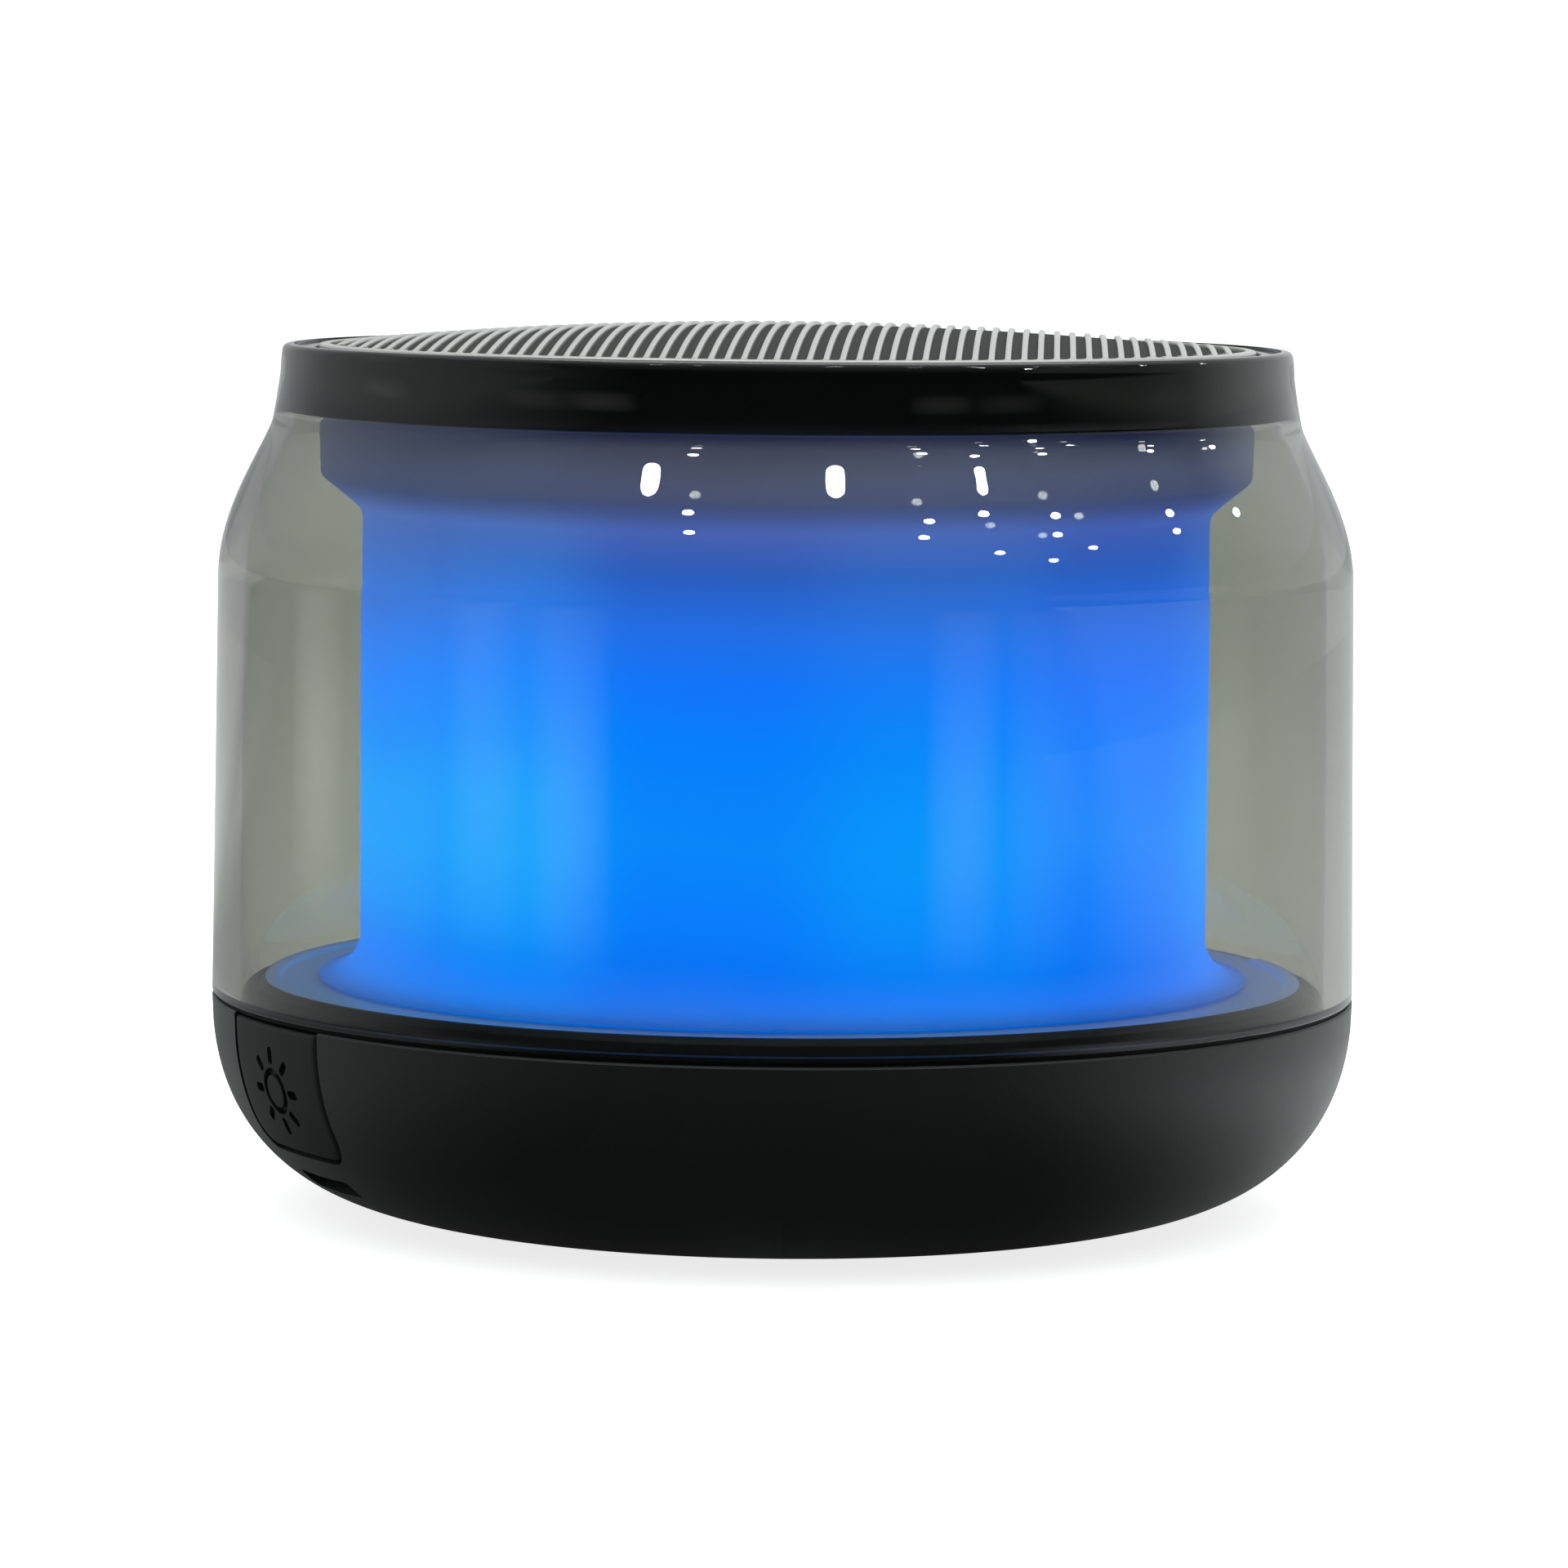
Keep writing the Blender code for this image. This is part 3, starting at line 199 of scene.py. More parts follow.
def filleted(corners, steps=4):
    """A closed outline whose corners, given as (radius, height, rounding), are rounded off."""
    points = []
    for i, (across, up, rounding) in enumerate(corners):
        here = Vector((across, up))
        if rounding == 0:
            points.append(here)
            continue
        back = (Vector(corners[i - 1][:2]) - here).normalized()
        ahead = (Vector(corners[(i + 1) % len(corners)][:2]) - here).normalized()
        half = back.angle(ahead) / 2
        centre = here + (back + ahead).normalized() * rounding / math.sin(half)
        start = here + back * rounding / math.tan(half) - centre
        end = here + ahead * rounding / math.tan(half) - centre
        for step in range(steps + 1):
            points.append(centre + start.lerp(end, step / steps).normalized() * rounding)
    return [(point[0], point[1]) for point in points]


def turned(outline, steps, closed=True):
    """A body turned about Z from an outline of (radius, height)."""
    bm = bmesh.new()
    verts = [bm.verts.new((across, 0.0, up)) for across, up in outline]
    edges = [bm.edges.new(pair) for pair in zip(verts, verts[1:])]
    if closed:
        edges.append(bm.edges.new((verts[-1], verts[0])))
    bmesh.ops.spin(bm, geom=verts + edges, cent=(0, 0, 0), axis=(0, 0, 1), angle=math.tau,
                   steps=steps, use_merge=True)
    bmesh.ops.remove_doubles(bm, verts=bm.verts, dist=1e-6)
    bmesh.ops.recalc_face_normals(bm, faces=bm.faces)
    return bm


def add_block(bm, low, high, rounding=0.0, segments=2):
    """Add a box between two corners, its edges rounded off."""
    size = [high[i] - low[i] for i in range(3)]
    middle = [(high[i] + low[i]) / 2 for i in range(3)]
    place = Matrix.Translation(middle) @ Matrix.Diagonal((*size, 1.0))
    made = bmesh.ops.create_cube(bm, size=1.0, matrix=place)["verts"]
    if rounding:
        edges = list({edge for vert in made for edge in vert.link_edges})
        bmesh.ops.bevel(bm, geom=edges, offset=rounding, offset_type="OFFSET", segments=segments,
                        profile=0.5, affect="EDGES", material=-1)


def add_post(bm, centre, low_z, high_z, radius, steps=32):
    """Add an upright round post."""
    place = Matrix.Translation((centre[0], centre[1], (low_z + high_z) / 2))
    bmesh.ops.create_cone(bm, cap_ends=True, segments=steps, radius1=radius, radius2=radius,
                          depth=high_z - low_z, matrix=place)


def add_stadium(bm, half_width, low_z, high_z, low_y, high_y, corner):
    """Add a bar along Y whose section is a rectangle with round corners."""
    place = (Matrix.Translation((0, (low_y + high_y) / 2, (low_z + high_z) / 2))
             @ Matrix.Diagonal((2 * half_width, high_y - low_y, high_z - low_z, 1.0)))
    made = bmesh.ops.create_cube(bm, size=1.0, matrix=place)["verts"]
    edges = {edge for vert in made for edge in vert.link_edges}
    long_edges = [edge for edge in edges if abs(edge.verts[0].co.y - edge.verts[1].co.y) > 1e-6]
    bmesh.ops.bevel(bm, geom=long_edges, offset=corner, offset_type="OFFSET", segments=6, profile=0.5,
                    affect="EDGES", material=-1)


def turn_about_z(bm, turn):
    """Turn a whole body about the speaker's axis."""
    bmesh.ops.rotate(bm, verts=bm.verts, cent=(0, 0, 0), matrix=Matrix.Rotation(turn, 3, "Z"))
    return bm


def combined(bm, tool, operation):
    """One body with another cut from it, added to it or kept within it."""
    items = []
    for part in (bm, tool):
        mesh = bpy.data.meshes.new("part")
        part.to_mesh(mesh)
        part.free()
        items.append(bpy.data.objects.new("part", mesh))
        bpy.context.scene.collection.objects.link(items[-1])
    modifier = items[0].modifiers.new("combine", "BOOLEAN")
    modifier.operation = operation
    modifier.object = items[1]
    modifier.solver = "EXACT"
    shaped = items[0].evaluated_get(bpy.context.evaluated_depsgraph_get())
    result = bmesh.new()
    result.from_mesh(shaped.to_mesh())
    for item in items:
        mesh = item.data
        bpy.data.objects.remove(item)
        bpy.data.meshes.remove(mesh)
    return result


def add_piece(name, bm, material, body=HOUSING, stands_for=(), sharp=32.0):
    """Turn a bmesh into a finished piece that rides on a body."""
    mesh = bpy.data.meshes.new(name)
    bm.to_mesh(mesh)
    bm.free()
    mesh.shade_smooth()
    mesh.set_sharp_from_angle(angle=math.radians(sharp))
    mesh.materials.append(material)
    piece = bpy.data.objects.new(name, mesh)
    bpy.context.scene.collection.objects.link(piece)
    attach(piece, body)
    if stands_for:
        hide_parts(*stands_for)
    return piece


# ---- shader groups ------------------------------------------------------------------------------
def add_node(tree, kind, values=(), **settings):
    """Add a node; each value is a number or colour to set, or an output to link."""
    made = tree.nodes.new(kind)
    for key, value in settings.items():
        setattr(made, key, value)
    for socket, value in dict(values).items():
        if isinstance(value, bpy.types.NodeSocket):
            tree.links.new(value, made.inputs[socket])
        else:
            made.inputs[socket].default_value = value
    return made


def calculate(tree, operation, first, second=0.0, clamp=False):
    return add_node(tree, "ShaderNodeMath", {0: first, 1: second}, operation=operation,
                    use_clamp=clamp).outputs[0]


def mix_colours(tree, amount, first, second):
    return add_node(tree, "ShaderNodeMix", {0: amount, 6: first, 7: second}, data_type="RGBA").outputs[2]


def eased(tree, value, start, end, low=0.0, high=1.0):
    """A value that eases from low at the start to high at the end."""
    return add_node(tree, "ShaderNodeMapRange",
                    {"Value": value, "From Min": start, "From Max": end, "To Min": low, "To Max": high},
                    interpolation_type="SMOOTHSTEP").outputs["Result"]


def new_group(name, inputs, outputs):
    """A shader group with its input and output nodes."""
    group = bpy.data.node_groups.new(name, "ShaderNodeTree")
    for label, kind, default in inputs:
        socket = group.interface.new_socket(label, in_out="INPUT", socket_type="NodeSocket" + kind)
        if default is not None:
            socket.default_value = default
    for label, kind in outputs:
        group.interface.new_socket(label, in_out="OUTPUT", socket_type="NodeSocket" + kind)
    return group, group.nodes.new("NodeGroupInput"), group.nodes.new("NodeGroupOutput")


def moulded_grain():
    """Fine grain, faint cloudiness and light scuffs of moulded plastic or rubber."""
    name = "Moulded grain"
    if name in bpy.data.node_groups:
        return bpy.data.node_groups[name]
    group, given, result = new_group(
        name,
        [("Vector", "Vector", None), ("Colour", "Color", (0.5, 0.5, 0.5, 1)),
         ("Scuffed Colour", "Color", (0.6, 0.6, 0.6, 1)), ("Roughness", "Float", 0.5),
         ("Roughness Spread", "Float", 0.1), ("Grain Scale", "Float", 6000.0),
         ("Scuffs", "Float", 0.3)],
        [("Colour", "Color"), ("Roughness", "Float"), ("Height", "Float")])
    grain = add_node(group, "ShaderNodeTexNoise",
                     {"Vector": given.outputs["Vector"], "Scale": given.outputs["Grain Scale"],
                      "Detail": 3.0, "Roughness": 0.6})
    cloud = add_node(group, "ShaderNodeTexNoise",
                     {"Vector": given.outputs["Vector"], "Scale": 90.0, "Detail": 5.0, "Roughness": 0.62})
    patch = add_node(group, "ShaderNodeMapRange",
                     {"Value": cloud.outputs["Fac"], "From Min": 0.42, "From Max": 0.75})
    speck = calculate(group, "MULTIPLY", patch.outputs["Result"], grain.outputs["Fac"])
    amount = calculate(group, "MULTIPLY", speck, given.outputs["Scuffs"], clamp=True)
    tint = mix_colours(group, amount, given.outputs["Colour"], given.outputs["Scuffed Colour"])
    spread = calculate(group, "SUBTRACT", cloud.outputs["Fac"], 0.5)
    spread = calculate(group, "MULTIPLY", spread, given.outputs["Roughness Spread"])
    rough = calculate(group, "ADD", given.outputs["Roughness"], spread, clamp=True)
    group.links.new(tint, result.inputs["Colour"])
    group.links.new(rough, result.inputs["Roughness"])
    group.links.new(grain.outputs["Fac"], result.inputs["Height"])
    return group


def handling_smudges():
    """Patches of handling on a polished surface, and its faint moulded waviness."""
    name = "Handling smudges"
    if name in bpy.data.node_groups:
        return bpy.data.node_groups[name]
    group, given, result = new_group(
        name,
        [("Vector", "Vector", None), ("Clean", "Float", 0.02), ("Smudged", "Float", 0.12)],
        [("Roughness", "Float"), ("Height", "Float")])
    cloud = add_node(group, "ShaderNodeTexNoise",
                     {"Vector": given.outputs["Vector"], "Scale": 55.0, "Detail": 6.0, "Roughness": 0.6,
                      "Distortion": 0.4})
    rough = add_node(group, "ShaderNodeMapRange",
                     {"Value": cloud.outputs["Fac"], "From Min": 0.5, "From Max": 0.8,
                      "To Min": given.outputs["Clean"], "To Max": given.outputs["Smudged"]})
    wave = add_node(group, "ShaderNodeTexNoise",
                    {"Vector": given.outputs["Vector"], "Scale": 45.0, "Detail": 1.0})
    group.links.new(rough.outputs["Result"], result.inputs["Roughness"])
    group.links.new(wave.outputs["Fac"], result.inputs["Height"])
    return group


def plain_weave():
    """Over-and-under threads of woven cloth."""
    name = "Plain weave"
    if name in bpy.data.node_groups:
        return bpy.data.node_groups[name]
    group, given, result = new_group(
        name, [("Vector", "Vector", None), ("Threads per metre", "Float", 3000.0)],
        [("Height", "Float"), ("Shade", "Float")])
    scaled = add_node(group, "ShaderNodeVectorMath",
                      {0: given.outputs["Vector"], 3: given.outputs["Threads per metre"]},
                      operation="SCALE").outputs[0]
    parts = add_node(group, "ShaderNodeSeparateXYZ", {0: scaled}).outputs
    waves = [calculate(group, "SINE", calculate(group, "MULTIPLY", parts[i], math.pi)) for i in (0, 1)]
    ridges = [calculate(group, "ABSOLUTE", wave) for wave in waves]
    over = calculate(group, "MULTIPLY", waves[0], waves[1])
    side = calculate(group, "MULTIPLY_ADD", over, 0.5)
    side.node.inputs[2].default_value = 0.5
    height = add_node(group, "ShaderNodeMix", {0: side, 2: ridges[0], 3: ridges[1]})
    group.links.new(height.outputs[0], result.inputs["Height"])
    group.links.new(side, result.inputs["Shade"])
    return group


def machined_streaks():
    """Turned or rolled marks of bare metal."""
    name = "Machined streaks"
    if name in bpy.data.node_groups:
        return bpy.data.node_groups[name]
    group, given, result = new_group(
        name,
        [("Vector", "Vector", None), ("Colour", "Color", (0.6, 0.6, 0.6, 1)),
         ("Tarnish", "Color", (0.4, 0.4, 0.4, 1)), ("Roughness", "Float", 0.3)],
        [("Colour", "Color"), ("Roughness", "Float"), ("Height", "Float")])
    stretched = add_node(group, "ShaderNodeVectorMath",
                         {0: given.outputs["Vector"], 1: (300.0, 300.0, 5000.0)}, operation="MULTIPLY")
    streak = add_node(group, "ShaderNodeTexNoise",
                      {"Vector": stretched.outputs[0], "Scale": 1.0, "Detail": 4.0})
    tint = mix_colours(group, streak.outputs["Fac"], given.outputs["Colour"], given.outputs["Tarnish"])
    spread = calculate(group, "MULTIPLY", streak.outputs["Fac"], 0.2)
    rough = calculate(group, "ADD", spread, given.outputs["Roughness"], clamp=True)
    group.links.new(tint, result.inputs["Colour"])
    group.links.new(rough, result.inputs["Roughness"])
    group.links.new(streak.outputs["Fac"], result.inputs["Height"])
    return group


# ---- finishes -----------------------------------------------------------------------------------
def start_finish(name, **sockets):
    """A material, its shader and the object coordinates that its pattern reads."""
    material = bpy.data.materials.new(name)
    material.use_nodes = True
    tree = material.node_tree
    shader = tree.nodes["Principled BSDF"]
    for socket, value in sockets.items():
        shader.inputs[socket.replace("_", " ")].default_value = value
    where = add_node(tree, "ShaderNodeTexCoord")
    place = add_node(tree, "ShaderNodeMapping", {"Vector": where.outputs["Object"]})
    return material, tree, shader, place.outputs["Vector"]


def use_group(tree, group, values):
    return add_node(tree, "ShaderNodeGroup", values, node_tree=group)


def opaque(rgb):
    return (*rgb, 1.0)


def add_bump(tree, shader, height, depth):
    bump = add_node(tree, "ShaderNodeBump", {"Height": height, "Strength": 1.0, "Distance": depth})
    tree.links.new(bump.outputs["Normal"], shader.inputs["Normal"])


def add_grain(tree, shader, where, plain, scuffed, roughness, spread, grain, scuffs, depth):
    """Give a shader the colour, roughness and relief of the moulded grain."""
    grains = use_group(tree, moulded_grain(), {
        "Vector": where, "Colour": plain, "Scuffed Colour": scuffed,
        "Roughness": roughness, "Roughness Spread": spread, "Grain Scale": grain, "Scuffs": scuffs})
    tree.links.new(grains.outputs["Colour"], shader.inputs["Base Color"])
    tree.links.new(grains.outputs["Roughness"], shader.inputs["Roughness"])
    add_bump(tree, shader, grains.outputs["Height"], depth)


def add_smudges(tree, shader, where, clean, smudged):
    """Give a shader the patchy polish and the faint waviness of a handled surface."""
    marks = use_group(tree, handling_smudges(), {"Vector": where, "Clean": clean, "Smudged": smudged})
    tree.links.new(marks.outputs["Roughness"], shader.inputs["Roughness"])
    add_bump(tree, shader, marks.outputs["Height"], 0.001 * MM)


def moulded(name, rgb, roughness, scuffed=1.6, grain=6000.0, depth=0.006 * MM, scuffs=0.6, **sockets):
    """Moulded plastic or rubber with grain and light scuffs."""
    material, tree, shader, where = start_finish(name, **sockets)
    worn = [min(part * scuffed + 0.003, 1.0) for part in rgb]
    add_grain(tree, shader, where, opaque(rgb), opaque(worn), roughness, 0.12, grain, scuffs, depth)
    return material


def bare_metal(name, rgb, roughness, tarnish=0.75):
    """Bare metal with turned or rolled marks."""
    material, tree, shader, where = start_finish(name, Metallic=1.0)
    streaks = use_group(tree, machined_streaks(), {
        "Vector": where, "Colour": opaque(rgb), "Tarnish": opaque([part * tarnish for part in rgb]),
        "Roughness": roughness})
    tree.links.new(streaks.outputs["Colour"], shader.inputs["Base Color"])
    tree.links.new(streaks.outputs["Roughness"], shader.inputs["Roughness"])
    add_bump(tree, shader, streaks.outputs["Height"], 0.003 * MM)
    return material


def woven(name, rgb, threads):
    """Woven cloth; the threads on top are paler."""
    material, tree, shader, where = start_finish(name, Roughness=0.85)
    weave = use_group(tree, plain_weave(), {"Vector": where, "Threads per metre": threads})
    tint = mix_colours(tree, weave.outputs["Shade"], opaque(rgb), opaque([part * 1.5 for part in rgb]))
    tree.links.new(tint, shader.inputs["Base Color"])
    add_bump(tree, shader, weave.outputs["Height"], 0.06 * MM)
    return material


def smoked_clear(name):
    """Tinted clear plastic; rays from lamps pass it straight."""
    look = bpy.context.scene.speaker_finish
    material, tree, shader, where = start_finish(name, IOR=1.49, Transmission_Weight=1.0,
                                                 Base_Color=opaque(look.smoke))
    add_smudges(tree, shader, where, 0.0, 0.05)
    straight = add_node(tree, "ShaderNodeBsdfTransparent",
                        {"Color": opaque([math.sqrt(part) for part in look.smoke])})
    path = add_node(tree, "ShaderNodeLightPath")
    mix = add_node(tree, "ShaderNodeMixShader",
                   {0: path.outputs["Is Shadow Ray"], 1: shader.outputs[0], 2: straight.outputs[0]})
    tree.links.new(mix.outputs[0], tree.nodes["Material Output"].inputs["Surface"])
    return material


def polished(name, rgb, clean=0.04, smudged=0.16):
    """Polished opaque plastic with handling marks."""
    material, tree, shader, where = start_finish(name, Base_Color=opaque(rgb))
    add_smudges(tree, shader, where, clean, smudged)
    return material


def from_axis(tree, parts):
    """Distance from the speaker's axis, given a place's separate X, Y and Z."""
    flat = add_node(tree, "ShaderNodeCombineXYZ", {0: parts[0], 1: parts[1]})
    return add_node(tree, "ShaderNodeVectorMath", {0: flat.outputs[0]}, operation="LENGTH").outputs[1]


def ramp(tree, value, stops):
    """A colour ramp from (place, colour) stops."""
    made = add_node(tree, "ShaderNodeValToRGB", {"Fac": value})
    elements = made.color_ramp.elements
    for place, rgb in stops[2:]:
        elements.new(place)
    for element, (place, rgb) in zip(elements, sorted(stops)):
        element.position = place
        element.color = opaque(rgb)
    return made.outputs["Color"]


# Colours of the frosted column at shares of its height: as it is unlit, and its glow between and
# over the lamps inside.
UNLIT = [(0.0, (0.26, 0.33, 0.42)), (0.09, (0.0, 0.012, 0.09)), (0.62, (0.0, 0.015, 0.10)),
         (0.80, (0.04, 0.06, 0.15))]
LIT_BETWEEN_LAMPS = [
    (0.0, (0.0, 0.13, 0.75)), (0.05, (0.0, 0.15, 0.90)), (0.16, (0.0, 0.19, 1.0)),
    (0.30, (0.0, 0.225, 1.0)), (0.47, (0.0, 0.195, 1.0)), (0.57, (0.004, 0.163, 0.97)),
    (0.66, (0.014, 0.142, 0.80)), (0.75, (0.022, 0.095, 0.50)), (0.82, (0.038, 0.085, 0.40)),
    (0.90, (0.044, 0.066, 0.27)), (0.97, (0.028, 0.034, 0.12))]
LIT_OVER_LAMPS = [
    (0.0, (0.0, 0.16, 0.80)), (0.05, (0.0, 0.20, 0.95)), (0.16, (0.0, 0.30, 1.0)),
    (0.26, (0.0, 0.345, 1.0)), (0.36, (0.0, 0.335, 1.0)), (0.47, (0.0, 0.27, 1.0)),
    (0.57, (0.006, 0.23, 1.0)), (0.66, (0.018, 0.19, 0.87)), (0.76, (0.034, 0.145, 0.58)),
    (0.88, (0.065, 0.105, 0.33)), (0.97, (0.050, 0.065, 0.17))]


def frosted_lit(name):
    """Frosted plastic lit from within by the lamps round the foot of the column."""
    look = bpy.context.scene.speaker_finish
    material, tree, shader, where = start_finish(name, Emission_Strength=look.glow, Specular_IOR_Level=0.15)
    parts = add_node(tree, "ShaderNodeSeparateXYZ", {0: where}).outputs
    up = add_node(tree, "ShaderNodeMapRange", {"Value": parts[2], "From Min": COLUMN_LOW.z,
                                               "From Max": COLUMN_HIGH.z}).outputs["Result"]
    drift = add_node(tree, "ShaderNodeTexNoise", {"Vector": where, "Scale": 28.0, "Detail": 2.0})
    drift = calculate(tree, "MULTIPLY", calculate(tree, "SUBTRACT", drift.outputs["Fac"], 0.5), 0.14)
    up = calculate(tree, "ADD", up, drift)
    unlit = ramp(tree, up, UNLIT + [(0.92, look.diffuser)])
    add_grain(tree, shader, where, unlit, unlit, 0.5, 0.1, 4000.0, 0.0, 0.01 * MM)

    heading = calculate(tree, "ARCTAN2", parts[0], calculate(tree, "MULTIPLY", parts[1], -1.0))
    turn = calculate(tree, "MULTIPLY", calculate(tree, "SUBTRACT", heading, FIRST_LAMP), LAMP_COUNT)
    near = eased(tree, calculate(tree, "COSINE", turn), -0.8, 1.0)
    uneven = eased(tree, parts[0], -0.5 * COLUMN_RADIUS, 0.2 * COLUMN_RADIUS, 1.0, 0.5)
    left = eased(tree, parts[0], -0.5 * COLUMN_RADIUS, -0.85 * COLUMN_RADIUS, high=0.9)
    near = calculate(tree, "MAXIMUM", calculate(tree, "MULTIPLY", near, uneven), left)
    between = ramp(tree, up, LIT_BETWEEN_LAMPS)
    over_lamp = ramp(tree, up, LIT_OVER_LAMPS)
    glow = mix_colours(tree, near, between, over_lamp)
    fade = eased(tree, from_axis(tree, parts), COLUMN_RADIUS + 0.4 * MM, COLUMN_HIGH.x, 1.0, 0.35)
    faded = add_node(tree, "ShaderNodeVectorMath", {0: glow, 3: fade}, operation="SCALE")
    tree.links.new(faded.outputs[0], shader.inputs["Emission Color"])
    return material


def floor_finish(name):
    """Satin top and raised edge, dark along the outermost edge and on the side."""
    look = bpy.context.scene.speaker_finish
    material, tree, shader, where = start_finish(name)
    parts = add_node(tree, "ShaderNodeSeparateXYZ", {0: where}).outputs
    top_edge = FLOOR_HIGH.x - 0.5 * MM
    rim = add_node(tree, "ShaderNodeMapRange", {"Value": from_axis(tree, parts), "From Min": top_edge,
                                                "From Max": top_edge + 0.1 * MM})
    tint = mix_colours(tree, rim.outputs["Result"], opaque(look.floor_top), opaque(look.floor_rim))
    add_grain(tree, shader, where, tint, tint, 0.42, 0.15, 5000.0, 0.0, 0.006 * MM)
    return material


def circuit_board(name):
    """Green board whose tracks show through the lacquer."""
    material, tree, shader, where = start_finish(name, Roughness=0.35, Coat_Weight=0.3)
    cells = add_node(tree, "ShaderNodeTexVoronoi", {"Vector": where, "Scale": 420.0},
                     feature="DISTANCE_TO_EDGE", distance="CHEBYCHEV")
    track = add_node(tree, "ShaderNodeMapRange", {"Value": cells.outputs["Distance"], "From Min": 0.08,
                                                  "From Max": 0.12})
    tint = mix_colours(tree, track.outputs["Result"], (0.035, 0.2, 0.09, 1), (0.012, 0.09, 0.045, 1))
    tree.links.new(tint, shader.inputs["Base Color"])
    add_bump(tree, shader, cells.outputs["Distance"], 0.02 * MM)
    return material


def copper_winding(name):
    """Enamelled wire wound in close turns."""
    material, tree, shader, where = start_finish(name, Metallic=1.0, Roughness=0.3)
    turns = add_node(tree, "ShaderNodeTexWave", {"Vector": where, "Scale": 1600.0}, bands_direction="Z")
    tint = mix_colours(tree, turns.outputs["Fac"], (0.35, 0.12, 0.05, 1), (0.75, 0.34, 0.17, 1))
    tree.links.new(tint, shader.inputs["Base Color"])
    add_bump(tree, shader, turns.outputs["Fac"], 0.04 * MM)
    return material


def finish(name):
    """The named finish, made on its first use."""
    if name in bpy.data.materials:
        return bpy.data.materials[name]
    look = bpy.context.scene.speaker_finish
    makers = {
        "Smoked clear": smoked_clear,
        "Gloss black": lambda n: polished(n, look.gloss_black),
        # The grille's pale base colour is a painted highlight on dark painted bars.
        "Grille paint with painted highlight": lambda n: moulded(n, look.grille, 0.38, grain=9000.0, scuffs=0.5, scuffed=1.3,
                                          Coat_Weight=1.0, Coat_Roughness=0.15),
        "Grille cloth": lambda n: woven(n, look.cloth, 2600.0),
        "Frosted column": frosted_lit,
        "Floor plate": floor_finish,
        "Matt base": lambda n: moulded(n, look.base, 0.46, depth=0.010 * MM, Specular_IOR_Level=0.5,
                                       Sheen_Weight=0.09, Sheen_Roughness=0.4),
        # The black ring at the seam is painted shade.
        "Seam shade black": lambda n: moulded(n, look.seam_shade, 0.6, Specular_IOR_Level=0.1),
        "Soft rubber": lambda n: moulded(n, look.rubber, 0.58, depth=0.012 * MM, grain=4500.0,
                                         Specular_IOR_Level=0.35),
        "White plastic": lambda n: moulded(n, (0.72, 0.73, 0.75), 0.45, scuffed=0.9),
        "Chip black": lambda n: moulded(n, (0.016, 0.016, 0.018), 0.42),
        "Cone paper": lambda n: moulded(n, (0.03, 0.03, 0.032), 0.8, grain=1500.0, depth=0.06 * MM),
        "Foam gasket": lambda n: moulded(n, (0.02, 0.02, 0.021), 0.95, grain=2500.0, depth=0.1 * MM),
        "Ferrite": lambda n: moulded(n, (0.05, 0.05, 0.055), 0.6, grain=2500.0, depth=0.03 * MM),
        "Lamp lens": lambda n: polished(n, (0.85, 0.76, 0.36), 0.2, 0.4),
        "Red wire": lambda n: moulded(n, (0.55, 0.03, 0.02), 0.45),
        "Black wire": lambda n: moulded(n, (0.02, 0.02, 0.02), 0.45),
        "Amber cloth": lambda n: woven(n, (0.5, 0.36, 0.14), 2200.0),
        "Bright steel": lambda n: bare_metal(n, (0.62, 0.61, 0.6), 0.26),
        "Dark steel": lambda n: bare_metal(n, (0.11, 0.11, 0.12), 0.38),
        "Battery foil": lambda n: bare_metal(n, (0.5, 0.52, 0.55), 0.34, 0.9),
        "Circuit board": circuit_board,
        "Copper winding": copper_winding,
    }
    return makers[name](name)


# ---- outlines -----------------------------------------------------------------------------------
def shoulder_radius(neck, wall, height):
    """Radius of the shell's shoulder at a height, easing from neck to wall on a smooth S."""
    part = max((NECK_Z - height) / (NECK_Z - SHOULDER_Z), 0.0) ** SHOULDER_SKEW
    return neck + (wall - neck) * (3 * part ** 2 - 2 * part ** 3)


def shoulder(neck, wall, steps, low_z):
    """Points of the shell's shoulder from the neck down."""
    heights = [NECK_Z + (low_z - NECK_Z) * i / steps for i in range(steps + 1)]
    return [(shoulder_radius(neck, wall, height), height) for height in heights]


def bowl_radius(height):
    """Outer radius of the base at a height."""
    down = min(max((SEAM_Z - height) / (SEAM_Z - BOWL_BOTTOM_Z), 0.0), 1.0)
    corner = (1 - down ** BOWL_POWER) ** (1 / BOWL_POWER)
    return BOWL_FLAT_RADIUS + (BODY_RADIUS - BOWL_FLAT_RADIUS) * corner


def bowl_arc(wall, start, end, steps):
    """Points of the base's corner; 0 is at the seam and 90 at the flat underside."""
    across = BODY_RADIUS - BOWL_FLAT_RADIUS - wall
    down = SEAM_Z - BOWL_BOTTOM_Z - wall
    points = []
    for i in range(steps + 1):
        turn = math.radians(start + (end - start) * i / steps)
        cosine = max(math.cos(turn), 0.0) ** (2 / BOWL_POWER)
        sine = math.sin(turn) ** (2 / BOWL_POWER)
        points.append((BOWL_FLAT_RADIUS + across * cosine, SEAM_Z - down * sine))
    return points


def bowl_face_y(x, z):
    """Y of the base's front surface at a point of its front view."""
    return -math.sqrt(max(bowl_radius(z) ** 2 - x ** 2, 0.0))


def dome_z(x, y):
    """Height of the grille's domed top."""
    return CROWN_Z - (CROWN_Z - RIM_Z) * (x * x + y * y) / GRILLE_RADIUS ** 2


def bay_corners(grow, top):
    """The bay's outline in x and z, its lower corners rounded."""
    half = KEY_HALF_WIDTH + grow
    low = KEY_BOTTOM_Z - grow
    corner = KEY_CORNER + grow
    return filleted([(-half, top, 0), (-half, low, corner), (half, low, corner), (half, top, 0)], 8)


